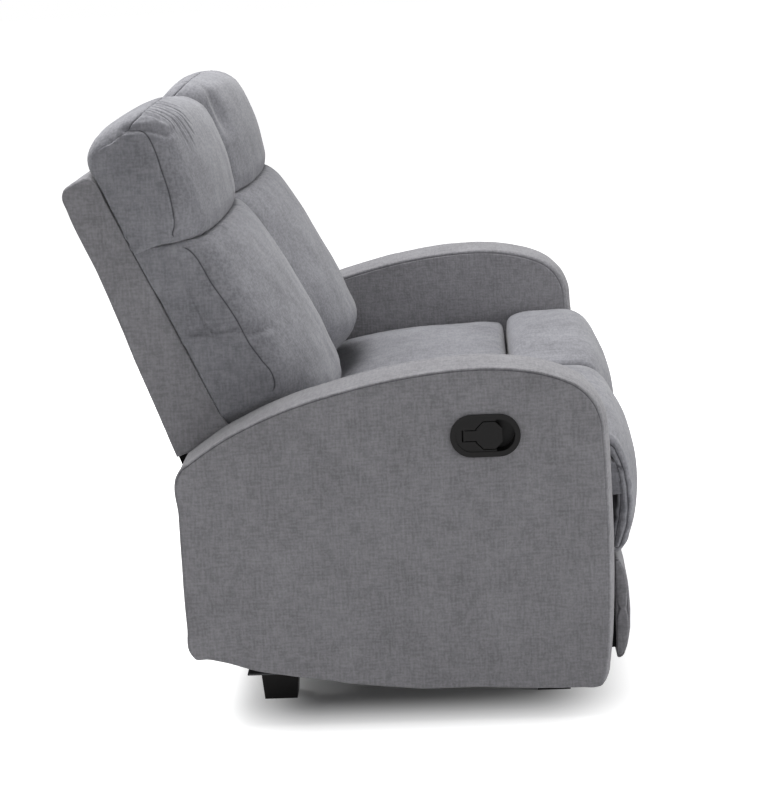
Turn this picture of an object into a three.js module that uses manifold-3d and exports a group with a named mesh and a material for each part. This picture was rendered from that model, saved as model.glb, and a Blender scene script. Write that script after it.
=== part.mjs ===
// Two-seat reclining sofa: thin boxed arms, tilted backs with headrests, and a footrest that unfolds
// from under each seat. Millimetres, Z up. The front looks towards -Y, the sitter's right is -X.
// Depths are measured from the front edge of the arms, heights from the floor.
import * as THREE from 'three';
import { mergeVertices } from 'three/addons/utils/BufferGeometryUtils.js';
import Module from 'manifold-3d';

const wasm = await Module();
wasm.setup();

// Overall sizes
const sofaWidth = 1440;
const armThickness = 128;
const seatPitch = (sofaWidth - 2 * armThickness) / 2;
const contactGap = 0.3;
const cutOverrun = 20;
const weldDistance = 0.001;

// Arm
const armDepth = 725;
const armHeight = 616;
const armApexDepth = 200;
const armFrontStraightHeight = 460;
const armTopRadius = 950;
const armToeSetback = 10;
const armToeHeight = 190;
const armGroundGap = 53;
const armRiseStart = 120;
const armBottomRadius = 2300;
const armHeelReach = 33;
const armFrontCrown = 15;
const armTopCrown = 5;
const armPanelThickness = 14;
const armRailWidth = 42;
const armBoardThickness = 15;
const armWindowDepths = [[60, 244], [286, 440]];
const armRearWindowStart = 470;
const armRearWindowSetback = 93;
const armWindowHeights = [[112, 470], [136, 520], [172, 446]];
const armCurveSteps = 6;
const armCornerRiseShare = 0.74;
const armCornerRunShare = 0.3;

// Release handle
const handleDepth = 201;
const handleHeight = 502;
const bezelLength = 118;
const bezelHeight = 73;
const bezelProud = 4;
const bezelRim = 6;
const housingDepth = 32;
const housingFloor = 3;
const housingClearance = 8;
const shelfDepth = 9;
const pocketLength = 67;
const paddleLength = 43;
const paddleHeight = 46;
const paddleThickness = 5;
const paddleSetback = 14.5;
const stemLength = 21;
const stemHeight = 17;
const pivotBarrelRadius = 2.6;
const cableRadius = 3.5;
const cableSetback = 24;
const cableExitHeight = 150;
const cableBend = 45;

// Base frame of each seat. What lies at the rear keeps its distance from the arm's rear edge
const baseSideGap = 36.5;
const baseHalfSpan = seatPitch / 2 - baseSideGap;
const basePlateThickness = 3;
const baseFlangeWidth = 24;
const baseFront = 60;
const baseRearSetback = 85;
const baseRear = armDepth - baseRearSetback;
const baseTop = 232;
const baseBottom = 45;
const baseWindowMargin = 44;
const crossTubeRadius = 11;
const crossTubeHeight = 80;
const rearTubeSetback = 115;
const crossTubeDepths = [353, armDepth - rearTubeSetback];
const rearTabSetback = 165;
const tabDepths = [100, armDepth - rearTabSetback];
const tabWidth = 46;
const tabHeight = 44;
const tabLevel = 150;
const footLength = 66;
const footWidth = 46;
const footTaper = 4;
const rearFootSetback = 143;
const footDepths = [95, armDepth - rearFootSetback];

// Seat frame and its steel side plates
const seatFrameTop = 352;
const seatFrameBottom = 318;
const seatFrameFront = -4.7;
const seatFrameRearSetback = 185;
const seatFrameRear = armDepth - seatFrameRearSetback;
const seatBoard = 26;
const seatSideBoard = 42;
const seatSideMargin = 11;
const plateInset = 24.5;
const plateHalfSpan = baseHalfSpan - plateInset;
const plateThickness = 3;
const plateFront = 62;
const plateRearSetback = 97;
const plateRear = armDepth - plateRearSetback;
const plateFlange = 24;
const springWireRadius = 2.2;
const springWidth = 52;
const springWaves = 6;
const springsPerSeat = 3;
const springSag = 9;
const springClip = 6.6;

// Footrest linkage, in the plane of depth and height
const drivePivot = [150, 262];
const footrestPivot = [15, 190];
const ottomanLinkLength = 280;
const ottomanLinkAngle = THREE.MathUtils.degToRad(155);
const parallelSpacing = 70;
const linkWidth = 22;
const linkThickness = 3.4;
const linkLayer = 6;
const pinRadius = 4;
const pinHeadRadius = 7;
const pinHeadThickness = 1.8;
const driveTubeRadius = 9;
const parallelRodRadius = 5;
const ottomanTubeRadius = 8;
const ottomanTubeShare = 0.55;

// Footrest board and pad
const ottomanSideMargin = 16;
const ottomanWidth = seatPitch - 2 * ottomanSideMargin;
const ottomanBoardThickness = 15;
const ottomanBoardRear = -2;
const ottomanBoardTop = 214;
const ottomanBoardBottom = 74;
const ottomanPadTop = 236;
const ottomanPadHeight = 182;
const ottomanPadDepth = 32;
const bracketFoot = 30;

// Seat pads, as they lie on the seat frame
const padSideGap = 3;
const padWidth = seatPitch - 2 * padSideGap;
const padDrawIn = 7;
const seatCreaseDepth = 143;
const creaseHalfWidth = 3;
const rearPadSetback = 200;
const rearPadLength = armDepth - rearPadSetback - seatCreaseDepth - creaseHalfWidth;
const rearPadHeight = 101;
const frontPadLength = 138;
const frontPadHeight = 119;
const flapHinge = [-55, 440];
const flapClearance = 0.4;
const flapThickness = 70;
const flapLength = 213;
const flapRearFace = -5;

// Back: measured up its rear face, from the lower end of the shell
const backTilt = THREE.MathUtils.degToRad(19.3);
const backDatumReach = 13;
const backDatum = [armDepth + backDatumReach, 452];
const shellHeight = 508;
const shellBottomThickness = 104;
const shellTopThickness = 56;
const shellWall = 12;
const shellCorner = 10;
const backFrameDepth = 35;
const backFramePost = 36.7;
const backFrameRail = 44;
const backRailHeight = 95;
const cushionTop = 337;
const cushionHeight = 403;
const cushionDepth = 196;
const headrestBottom = 342;
const headrestHeight = 239;
const headrestDepth = 192;
const liningDrop = 170;
const liningThickness = 3;
const liningSideMargin = 10;
const backPivotSetback = 125;
const backPivot = [armDepth - backPivotSetback, 275];
const backPinRadius = 6;
const backBarWidth = 36;
const backBarLength = 273;
const backBarLean = THREE.MathUtils.degToRad(23.9);
const backTubeRadius = 10;
const backTubeShare = 0.4;

// Rear rail between the arms
const rearRailSetback = 33;
const rearRailDepth = armDepth - rearRailSetback;
const rearRailThickness = 20;
const rearRailBottom = 115;
const rearRailHeight = 147;
const rearRailEdge = 5;

// Upholstered forms: each corner is depth share, height share and how far the corner is rounded.
// The first list is the outline at the side seams, the second the crowned outline at mid width.
const headrestSideShares = [
  [0, 0, 0.3], [0, 0.4, 0.3], [0, 0.7, 0.3], [0, 0.78, 0.5], [0.04, 0.84, 0.8], [0.25, 0.89, 0.9],
  [0.52, 0.93, 1], [0.68, 0.78, 1], [0.61, 0.45, 1], [0.54, 0.18, 1], [0.4, 0.01, 0.9], [0.2, 0, 0.6],
];
const headrestMiddleShares = [
  [0, 0, 0.3], [0, 0.4, 0.3], [0, 0.72, 0.3], [-0.14, 0.78, 0.4], [-0.13, 0.86, 0.8], [0.3, 0.99, 1],
  [0.67, 1.02, 1], [0.97, 0.88, 1], [1.04, 0.52, 1], [0.95, 0.17, 1], [0.78, 0, 1], [0.35, 0, 0.8],
];
const cushionSideShares = [
  [0, 0.25, 0.3], [0, 0.6, 0.3], [0, 0.985, 0.3], [0.2, 1, 0.6], [0.39, 0.995, 0.8], [0.47, 0.88, 1],
  [0.53, 0.72, 1], [0.5, 0.55, 1], [0.55, 0.38, 1], [0.57, 0.27, 0.8], [0.4, 0.24, 0.8], [0.12, 0.245, 0.6],
];
const cushionMiddleShares = [
  [0, 0.1, 0.4], [0, 0.6, 0.3], [0, 0.985, 0.3], [0.4, 1, 0.6], [0.8, 1, 0.8], [0.95, 0.9, 1],
  [1.01, 0.73, 1], [1.04, 0.55, 1], [1.04, 0.36, 1], [1.02, 0.16, 1], [0.87, 0.02, 1], [0.4, 0, 0.8],
];
const rearPadSideShares = [
  [0, 0, 0.3], [1, 0, 0.3], [1, 0.7, 0.6], [0.62, 0.95, 1], [0.32, 1, 1], [0.1, 1.03, 0.9],
  [0, 0.97, 0.7], [0, 0.5, 0.5],
];
const rearPadMiddleShares = [
  [0, 0, 0.3], [1, 0, 0.3], [1, 0.8, 0.8], [0.62, 1.14, 1], [0.32, 1.21, 1], [0.1, 1.21, 0.9],
  [0, 1.08, 0.8], [0, 0.5, 0.5],
];
const frontPadSideShares = [
  [1, 0, 0.2], [1, 0.66, 0.5], [0.98, 0.93, 0.8], [0.72, 1.03, 1], [0.36, 1.03, 1], [0, 1.03, 1],
  [-0.19, 0.91, 1],
];
const frontPadMiddleShares = [
  [1, 0, 0.2], [1, 0.7, 0.5], [0.99, 1.08, 0.8], [0.76, 1.28, 1], [0.36, 1.31, 1], [-0.03, 1.35, 1],
  [-0.31, 1.14, 1],
];
const noseSideShare = 0.58;
const flapSideShares = [
  [0.06, 0, 0.3], [0.44, 0, 0.3], [0.6, 0.18, 1], [0.66, 0.42, 1], [0.62, 0.65, 1], [0.46, 0.81, 1],
  [0.27, 0.89, 1], [0.1, 0.85, 0.8], [0.19, 0.68, 1], [0.28, 0.42, 1], [0.2, 0.16, 1],
];
const flapMiddleShares = [
  [0.2, 0, 0.3], [0.72, 0, 0.3], [0.93, 0.19, 1], [1.01, 0.415, 1], [0.95, 0.66, 1], [0.78, 0.87, 1],
  [0.5, 1.01, 1], [0.22, 0.96, 0.8], [0.34, 0.74, 1], [0.46, 0.42, 1], [0.34, 0.15, 1],
];
const ottomanSideShares = [
  [0, 0, 0.2], [0.22, 0, 0.7], [0.66, 0.15, 1], [0.82, 0.47, 1], [0.74, 0.78, 1], [0.36, 0.98, 1],
  [0, 0.99, 0.3], [0, 0.47, 0.2],
];
const ottomanMiddleShares = [
  [0, 0.085, 0.2], [0.42, 0.07, 0.8], [0.9, 0.24, 1], [1.02, 0.52, 1], [0.94, 0.82, 1], [0.54, 0.99, 1],
  [0, 1, 0.3], [0, 0.5, 0.2],
];
const stationShares = [-1, -0.95, -0.8, -0.5, 0, 0.5, 0.8, 0.95, 1];
const crownPower = 2.6;
const cornerSteps = 2;
const capRingShare = 0.6;
const bandStationShares = [-1, -0.82, -0.4, 0.4, 0.82, 1];

const fabricColour = 0x77777b;
const seatFabricColour = 0x7c7a84;
const steelColour = 0x2a2b2d;
const plasticColour = 0x1d1d1e;
const woodColour = 0xb08d5f;
const liningColour = 0x17171a;

const fabric = () => new THREE.MeshStandardMaterial({ color: fabricColour, roughness: 0.95, metalness: 0 });
const seatFabric = () => new THREE.MeshStandardMaterial({
  color: seatFabricColour, roughness: 0.95, metalness: 0,
});
const steel = () => new THREE.MeshStandardMaterial({ color: steelColour, roughness: 0.45, metalness: 0.8 });
const plastic = () => new THREE.MeshStandardMaterial({ color: plasticColour, roughness: 0.4, metalness: 0 });
const wood = () => new THREE.MeshStandardMaterial({ color: woodColour, roughness: 0.8, metalness: 0 });
const lining = () => new THREE.MeshStandardMaterial({ color: liningColour, roughness: 0.9, metalness: 0 });

// Solids for joining and cutting

function toSolid(geometry) {
  const bare = geometry.clone();
  bare.deleteAttribute('normal');
  bare.deleteAttribute('uv');
  const welded = mergeVertices(bare, weldDistance);
  const vertProperties = new Float32Array(welded.attributes.position.array);
  const triVerts = new Uint32Array(welded.index.array);
  return new wasm.Manifold(new wasm.Mesh({ numProp: 3, vertProperties, triVerts }));
}

function toGeometry(solid) {
  const mesh = solid.getMesh();
  const geometry = new THREE.BufferGeometry();
  geometry.setAttribute('position', new THREE.BufferAttribute(new Float32Array(mesh.vertProperties), 3));
  geometry.setIndex(new THREE.BufferAttribute(new Uint32Array(mesh.triVerts), 1));
  geometry.computeVertexNormals();
  return geometry;
}

const joined = (solids) => solids.reduce((whole, next) => whole.add(next));

function named(name, shape, material) {
  const geometry = shape.isBufferGeometry ? shape : toGeometry(shape);
  const mesh = new THREE.Mesh(geometry, material);
  mesh.name = name;
  return mesh;
}

// A box between two corners
function block(low, high) {
  const size = low.map((value, axis) => high[axis] - value);
  const geometry = new THREE.BoxGeometry(...size);
  geometry.translate(...low.map((value, axis) => value + size[axis] / 2));
  return toSolid(geometry);
}

// A round bar between two points
function rod(radius, start, end, sides = 12) {
  const from = new THREE.Vector3(...start);
  const along = new THREE.Vector3(...end).sub(from);
  const geometry = new THREE.CylinderGeometry(radius, radius, along.length(), sides);
  const upright = THREE.Object3D.DEFAULT_UP;
  const turn = new THREE.Quaternion().setFromUnitVectors(upright, along.clone().normalize());
  geometry.applyQuaternion(turn);
  geometry.translate(...from.addScaledVector(along, 1 / 2));
  return toSolid(geometry);
}

// The matrix that stands an extruded drawing up: its plane becomes depth and height, its depth the width
const sideways = new THREE.Matrix4().makeBasis(
  new THREE.Vector3(0, 1, 0),
  new THREE.Vector3(0, 0, 1),
  new THREE.Vector3(1, 0, 0),
);

// A flat plate whose outline is drawn in depth and height, from one width to another
function plate(shape, fromX, toX, curveSegments = 6) {
  const low = Math.min(fromX, toX);
  const depth = Math.abs(toX - fromX);
  const geometry = new THREE.ExtrudeGeometry(shape, { depth, bevelEnabled: false, curveSegments });
  geometry.applyMatrix4(sideways);
  geometry.translate(low, 0, 0);
  return toSolid(geometry);
}

const outlineShape = (points) => new THREE.Shape(
  points.map(([depth, height]) => new THREE.Vector2(depth, height)),
);

// A bar with round ends that runs through a list of pivots, with a hole at the ones that need it
function barShape(pivots, width, holes, holeRadius) {
  const [startY, startZ] = pivots[0];
  const [endY, endZ] = pivots[pivots.length - 1];
  const angle = Math.atan2(endZ - startZ, endY - startY);
  const half = width / 2;
  const shape = new THREE.Shape();
  shape.absarc(endY, endZ, half, angle - Math.PI / 2, angle + Math.PI / 2, false);
  shape.absarc(startY, startZ, half, angle + Math.PI / 2, angle + 3 * Math.PI / 2, false);
  for (const [holeY, holeZ] of holes) {
    shape.holes.push(new THREE.Path().absarc(holeY, holeZ, holeRadius, 0, 2 * Math.PI, true));
  }
  return shape;
}

function signedArea(points) {
  return points.reduce((sum, [y, z], index) => {
    const [nextY, nextZ] = points[(index + 1) % points.length];
    return sum + (y * nextZ - nextY * z) / 2;
  }, 0);
}

const counterClockwise = (points) => (signedArea(points) < 0 ? [...points].reverse() : points);

// Moves each point of a closed outline outwards by what its outward direction asks for
function offsetOutline(points, distanceFor) {
  return points.map((point, index) => {
    const before = points[(index + points.length - 1) % points.length];
    const after = points[(index + 1) % points.length];
    const run = new THREE.Vector2(after[0] - before[0], after[1] - before[1]).normalize();
    const distance = distanceFor(run.y, -run.x);
    return [point[0] + run.y * distance, point[1] - run.x * distance];
  });
}

// Rounds the corners of a coarse outline: a corner of 1 is as soft as its edges allow
function softOutline(corners) {
  const points = [];
  corners.forEach(([depth, height, softness], index) => {
    const before = corners[(index + corners.length - 1) % corners.length];
    const after = corners[(index + 1) % corners.length];
    const reach = softness / 2;
    const start = new THREE.Vector2(before[0] - depth, before[1] - height).multiplyScalar(reach);
    const end = new THREE.Vector2(after[0] - depth, after[1] - height).multiplyScalar(reach);
    const here = new THREE.Vector2(depth, height);
    const bend = new THREE.QuadraticBezierCurve(start.add(here), here, end.add(here));
    for (let step = 0; step < cornerSteps; step += 1) {
      const point = bend.getPoint((step + 1 / 2) / cornerSteps);
      points.push([point.x, point.y]);
    }
  });
  return points;
}

// Skins a row of sections across the width and closes each end with a drawn-in side panel
function loft(sections, widths, drawIn) {
  const count = sections[0].length;
  const positions = [];
  const faces = [];
  const addRing = (section, x) => {
    const first = positions.length / 3;
    section.forEach(([y, z]) => positions.push(x, y, z));
    return first;
  };
  const bridge = (low, high) => {
    for (let index = 0; index < count; index += 1) {
      const next = (index + 1) % count;
      faces.push(low + index, low + next, high + next, low + index, high + next, high + index);
    }
  };
  const starts = sections.map((section, index) => addRing(section, widths[index]));
  for (let index = 1; index < starts.length; index += 1) bridge(starts[index - 1], starts[index]);
  const close = (section, x, rimStart, facing) => {
    const middle = section.reduce(([y, z], point) => [y + point[0] / count, z + point[1] / count], [0, 0]);
    const shrunk = section.map(([y, z]) => [
      THREE.MathUtils.lerp(middle[0], y, capRingShare),
      THREE.MathUtils.lerp(middle[1], z, capRingShare),
    ]);
    const ring = addRing(shrunk, x - facing * drawIn);
    if (facing > 0) bridge(rimStart, ring);
    else bridge(ring, rimStart);
    const centre = positions.length / 3;
    positions.push(x - facing * drawIn, ...middle);
    for (let index = 0; index < count; index += 1) {
      const next = (index + 1) % count;
      if (facing > 0) faces.push(centre, ring + index, ring + next);
      else faces.push(centre, ring + next, ring + index);
    }
  };
  const last = sections.length - 1;
  close(sections[0], widths[0], starts[0], -1);
  close(sections[last], widths[last], starts[last], 1);
  const geometry = new THREE.BufferGeometry();
  geometry.setAttribute('position', new THREE.Float32BufferAttribute(positions, 3));
  geometry.setIndex(faces);
  geometry.computeVertexNormals();
  return geometry;
}

// An upholstered form: side outline at the seams, crowned outline at mid width
function cushionForm(sideCorners, middleCorners, width, drawIn) {
  const side = softOutline(sideCorners);
  const middle = softOutline(middleCorners);
  const turned = signedArea(middle) < 0;
  const sections = stationShares.map((share) => {
    const crown = 1 - Math.abs(share) ** crownPower;
    const section = side.map(([depth, height], index) => [
      THREE.MathUtils.lerp(depth, middle[index][0], crown),
      THREE.MathUtils.lerp(height, middle[index][1], crown),
    ]);
    return turned ? section.reverse() : section;
  });
  return loft(sections, stationShares.map((share) => share * width / 2), drawIn);
}

// Arms

// The side panel's outline, drawn inwards by a margin for what lies inside it
function armOutline(margin = 0) {
  const front = margin;
  const rear = armDepth - margin;
  const topRadius = armTopRadius - margin;
  const bottomRadius = armBottomRadius - margin;
  const fallAngle = Math.acos((rear - armApexDepth) / topRadius);
  const riseAngle = Math.asin((rear - armHeelReach - armRiseStart) / bottomRadius) - Math.PI / 2;
  const heelHeight = armGroundGap + armBottomRadius + bottomRadius * Math.sin(riseAngle);
  const top = armHeight - margin;
  const path = new THREE.Path();
  path.moveTo(front + armToeSetback, armGroundGap + margin);
  path.lineTo(front, armToeHeight);
  path.lineTo(front, armFrontStraightHeight);
  path.bezierCurveTo(
    front, THREE.MathUtils.lerp(armFrontStraightHeight, top, armCornerRiseShare),
    THREE.MathUtils.lerp(front, armApexDepth, armCornerRunShare), top,
    armApexDepth, top,
  );
  path.absarc(armApexDepth, armHeight - armTopRadius, topRadius, Math.PI / 2, fallAngle, true);
  path.lineTo(rear, heelHeight + armHeelReach / 2);
  path.lineTo(rear - armHeelReach, heelHeight);
  path.absarc(armRiseStart, armGroundGap + armBottomRadius, bottomRadius, riseAngle, -Math.PI / 2, true);
  return counterClockwise(withoutRepeats(path.getPoints(armCurveSteps).map((point) => [point.x, point.y])));
}

// Leaves out a point that repeats the one before it
function withoutRepeats(points) {
  return points.filter(([y, z], index) => {
    const [lastY, lastZ] = points[(index + points.length - 1) % points.length];
    return Math.hypot(y - lastY, z - lastZ) > contactGap;
  });
}

// The padded band swells most at the front, a little on top, and not at the rear or the bottom
function bandCrown(outwardY, outwardZ) {
  return armFrontCrown * Math.max(0, -outwardY) ** 2 + armTopCrown * Math.max(0, outwardZ) ** 2;
}

const armCentre = (side) => side * (sofaWidth - armThickness) / 2;

function armCover(side) {
  const outline = armOutline();
  const sections = bandStationShares.map((share) => {
    const swell = 1 - share ** 2;
    return offsetOutline(outline, (outwardY, outwardZ) => swell * bandCrown(outwardY, outwardZ));
  });
  const centre = armCentre(side);
  const half = armThickness / 2;
  const padded = toSolid(loft(sections, bandStationShares.map((share) => centre + share * half), 0));
  const hollowHalf = half - armPanelThickness;
  const hollow = plate(outlineShape(armOutline(armPanelThickness)), centre - hollowHalf, centre + hollowHalf);
  const mouth = block(
    [centre - hollowHalf, armToeSetback + armPanelThickness, 0],
    [centre + hollowHalf, armDepth - armPanelThickness, armToeHeight],
  );
  const handleHole = stadiumAlongX(
    bezelLength - 2 * bezelRim + 2 * contactGap, bezelHeight - 2 * bezelRim + 2 * contactGap,
    centre + side * hollowHalf - side * cutOverrun, centre + side * half + side * cutOverrun,
  );
  return padded.subtract(hollow).subtract(mouth).subtract(handleHole).subtract(cableHole(side));
}

// An oval prism at the handle's place, between two widths
function stadiumAlongX(length, height, fromX, toX) {
  const reach = (length - height) / 2;
  const shape = barShape(
    [[handleDepth - reach, handleHeight], [handleDepth + reach, handleHeight]], height, [], 0,
  );
  return plate(shape, fromX, toX, 9);
}

const cableDepth = handleDepth + cableSetback;
const cableDrop = (side) => (
  armCentre(side) + side * (armThickness / 2 - housingDepth + housingFloor + cableRadius)
);

function cableHole(side) {
  const inner = armCentre(side) - side * (armThickness / 2 + cutOverrun);
  const start = [inner, cableDepth, cableExitHeight];
  return rod(2 * cableRadius, start, [armCentre(side), cableDepth, cableExitHeight]);
}

// Inside the arm: thick rails with three windows, and a plywood board that faces the seat
const armFrameMargin = armPanelThickness + contactGap;
const armFrameHalf = armThickness / 2 - armFrameMargin;

function armFrame(side) {
  const centre = armCentre(side);
  const inner = centre - side * (armFrameHalf - armBoardThickness - contactGap);
  const outer = centre + side * armFrameHalf;
  const overrun = side * cutOverrun;
  const rails = plate(outlineShape(armOutline(armFrameMargin)), inner, outer);
  const within = plate(
    outlineShape(armOutline(armFrameMargin + armRailWidth)), inner - overrun, outer + overrun,
  );
  const windowDepths = [...armWindowDepths, [armRearWindowStart, armDepth - armRearWindowSetback]];
  const windows = windowDepths.map(([front, rear], index) => {
    const [low, high] = armWindowHeights[index];
    const across = [inner - overrun, outer + overrun].sort((first, second) => first - second);
    return block([across[0], front, low], [across[1], rear, high]);
  });
  const housingRoom = stadiumAlongX(
    bezelLength - 2 * bezelRim + 2 * housingClearance, bezelHeight - 2 * bezelRim + 2 * housingClearance,
    centre + side * (armThickness / 2 - housingDepth - housingClearance), outer + overrun,
  );
  const cableAcross = [cableDrop(side) - side * 2 * cableRadius, outer + overrun];
  const cableRoom = block(
    [Math.min(...cableAcross), cableDepth - 2 * cableRadius, cableExitHeight],
    [Math.max(...cableAcross), cableDepth + 2 * cableRadius, handleHeight],
  );
  return rails.subtract(joined(windows).intersect(within)).subtract(housingRoom).subtract(cableRoom);
}

function armBoard(side) {
  const outer = armCentre(side) - side * armFrameHalf;
  const board = plate(outlineShape(armOutline(armFrameMargin)), outer, outer + side * armBoardThickness);
  return board.subtract(cableHole(side));
}

// Release handle, drawn with the outside of the arm towards +X and turned round for the right arm

function handleBezel() {
  const reach = (bezelLength - bezelHeight) / 2;
  const oval = (margin, fromX, toX) => plate(
    barShape([[-reach, 0], [reach, 0]], bezelHeight - 2 * margin, [], 0), fromX, toX, 9,
  );
  const flange = oval(0, contactGap, bezelProud);
  const housing = oval(bezelRim, -housingDepth, contactGap + bezelProud / 2);
  const shelf = oval(bezelRim + housingFloor, -shelfDepth, bezelProud + cutOverrun);
  const pocketWell = oval(bezelRim + housingFloor, housingFloor - housingDepth, 0);
  const pocketLimit = block(
    [-housingDepth, -bezelLength, -bezelHeight],
    [cutOverrun, pocketLength - bezelLength / 2 + bezelRim + housingFloor, bezelHeight],
  );
  return flange.add(housing).subtract(shelf).subtract(pocketWell.intersect(pocketLimit));
}

function handlePaddle() {
  const front = paddleSetback - paddleLength;
  const half = paddleHeight / 2;
  const nip = paddleHeight / 4;
  const face = [
    [paddleSetback, -half + nip], [paddleSetback, half - nip], [paddleSetback - nip, half],
    [front + nip, half], [front, half - nip], [front, -half + nip],
    [front + nip, -half], [paddleSetback - nip, -half],
  ];
  const outer = bezelProud / 2;
  const inner = outer - paddleThickness;
  const paddle = plate(outlineShape(counterClockwise(face)), inner, outer);
  const pivotDepth = paddleSetback + stemLength;
  const stem = block(
    [inner, paddleSetback - paddleThickness, -stemHeight / 2],
    [outer, pivotDepth, stemHeight / 2],
  );
  // The barrel bears in the housing's wall, above and below
  const wallRadius = bezelHeight / 2 - bezelRim - housingFloor;
  const intoCurve = pivotDepth + pivotBarrelRadius - (bezelLength - bezelHeight) / 2;
  const barrelHalf = Math.sqrt(wallRadius ** 2 - intoCurve ** 2) - contactGap;
  const barrelX = inner + pivotBarrelRadius / 2;
  const barrelEnd = (direction) => [barrelX, pivotDepth, direction * barrelHalf];
  const barrel = rod(pivotBarrelRadius, barrelEnd(-1), barrelEnd(1));
  return joined([paddle, stem, barrel]);
}

// The release cable: from the handle's housing down inside the arm, then through to the base frame
function releaseCable(side) {
  const drop = cableDrop(side);
  const startHeight = handleHeight - bezelHeight / 2 + bezelRim - contactGap;
  const end = side * (seatPitch / 2 + baseHalfSpan + basePlateThickness / 2 + contactGap);
  const path = new THREE.CurvePath();
  const bendTop = new THREE.Vector3(drop, cableDepth, cableExitHeight + cableBend);
  const corner = new THREE.Vector3(drop, cableDepth, cableExitHeight);
  const bendEnd = new THREE.Vector3(drop - side * cableBend, cableDepth, cableExitHeight);
  path.add(new THREE.LineCurve3(new THREE.Vector3(drop, cableDepth, startHeight), bendTop));
  path.add(new THREE.QuadraticBezierCurve3(bendTop, corner, bendEnd));
  path.add(new THREE.LineCurve3(bendEnd, new THREE.Vector3(end, cableDepth, cableExitHeight)));
  const section = new THREE.Shape().absarc(0, 0, cableRadius, 0, 2 * Math.PI, false);
  return new THREE.ExtrudeGeometry(section, { extrudePath: path, steps: 16, curveSegments: 4 });
}

// Base frame of a seat: two pressed side plates with flanges, two cross tubes, and tabs to the arms

function baseFrame() {
  const parts = [];
  for (const hand of [-1, 1]) {
    const outer = hand * (baseHalfSpan + basePlateThickness / 2);
    const inner = hand * (baseHalfSpan - basePlateThickness / 2);
    const side = new THREE.Shape();
    side.moveTo(baseFront, baseBottom);
    side.lineTo(baseRear, baseBottom);
    side.lineTo(baseRear, baseTop);
    side.lineTo(baseFront, baseTop);
    const windowStart = tabDepths[0] + tabWidth + baseWindowMargin;
    const windowEnd = tabDepths[1] - baseWindowMargin;
    const post = crossTubeDepths[0];
    const windows = [[windowStart, post - baseWindowMargin / 2], [post + baseWindowMargin / 2, windowEnd]];
    let web = plate(side, inner, outer);
    for (const [start, end] of windows) {
      web = web.subtract(block(
        [-2 * baseHalfSpan, start, baseBottom + baseWindowMargin],
        [2 * baseHalfSpan, end, baseTop - baseWindowMargin],
      ));
    }
    parts.push(web);
    const flange = (fromX, toX, low, high) => block(
      [Math.min(fromX, toX), baseFront, low], [Math.max(fromX, toX), baseRear, high],
    );
    const topEdge = outer - hand * baseFlangeWidth;
    const bottomEdge = outer + hand * baseFlangeWidth;
    parts.push(flange(outer, topEdge, baseTop - basePlateThickness, baseTop));
    parts.push(flange(inner, bottomEdge, baseBottom, baseBottom + basePlateThickness));
    for (const depth of tabDepths) parts.push(...armTab(hand, depth, inner));
  }
  for (const depth of crossTubeDepths) {
    const reach = baseHalfSpan;
    parts.push(rod(crossTubeRadius, [-reach, depth, crossTubeHeight], [reach, depth, crossTubeHeight]));
  }
  return joined(parts);
}

// An angle tab that reaches the arm, or the next base frame
function armTab(hand, depth, plateFace) {
  const reach = hand * (seatPitch / 2 - contactGap);
  const heel = reach - hand * basePlateThickness;
  const span = (fromX, toX, low, high) => block(
    [Math.min(fromX, toX), depth, low], [Math.max(fromX, toX), depth + tabWidth, high],
  );
  return [
    span(plateFace, reach, tabLevel - basePlateThickness, tabLevel),
    span(heel, reach, tabLevel - tabHeight, tabLevel),
  ];
}

function foot(hand, depth) {
  const height = baseBottom - contactGap;
  const shape = new THREE.Shape();
  const half = footLength / 2;
  shape.moveTo(-half + footTaper, 0);
  shape.lineTo(half - footTaper, 0);
  shape.lineTo(half, height);
  shape.lineTo(-half, height);
  const centre = hand * (baseHalfSpan + basePlateThickness / 2);
  const solid = plate(shape, centre - footWidth / 2, centre + footWidth / 2);
  return solid.translate([0, depth, 0]);
}

// Seat frame, springs and side plates

const seatFrameHalf = seatPitch / 2 - seatSideMargin;

function seatFrame() {
  const outer = block(
    [-seatFrameHalf, seatFrameFront, seatFrameBottom], [seatFrameHalf, seatFrameRear, seatFrameTop],
  );
  const inner = block(
    [-seatFrameHalf + seatSideBoard, seatFrameFront + seatBoard, seatFrameBottom - cutOverrun],
    [seatFrameHalf - seatSideBoard, seatFrameRear - seatBoard, seatFrameTop + cutOverrun],
  );
  return outer.subtract(inner);
}

// Sinuous springs side by side, clipped to a strip along the front and rear boards
function springUnit() {
  const front = seatFrameFront + seatBoard + contactGap;
  const rear = seatFrameRear - seatBoard - contactGap;
  const level = seatFrameTop - springSag;
  const half = seatFrameHalf - seatSideBoard - springClip;
  const clip = springClip / 2;
  const parts = [
    block([-half, front, level - clip], [half, front + springClip, level + clip]),
    block([-half, rear - springClip, level - clip], [half, rear, level + clip]),
  ];
  const section = new THREE.Shape().absarc(0, 0, springWireRadius, 0, 2 * Math.PI, false);
  for (let index = 0; index < springsPerSeat; index += 1) {
    const centre = (index - (springsPerSeat - 1) / 2) * (2 * half / springsPerSeat);
    const points = [];
    const turns = springWaves * 2;
    for (let step = 0; step <= turns; step += 1) {
      const depth = THREE.MathUtils.lerp(front + clip, rear - clip, step / turns);
      const sway = (step % 2 === 0 ? springWidth : -springWidth) / 2;
      points.push(new THREE.Vector3(centre + sway, depth, level));
    }
    const extrudePath = new THREE.CatmullRomCurve3(points);
    const spring = new THREE.ExtrudeGeometry(section, { extrudePath, steps: turns * 3, curveSegments: 2 });
    parts.push(toSolid(spring));
  }
  return joined(parts);
}

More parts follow.
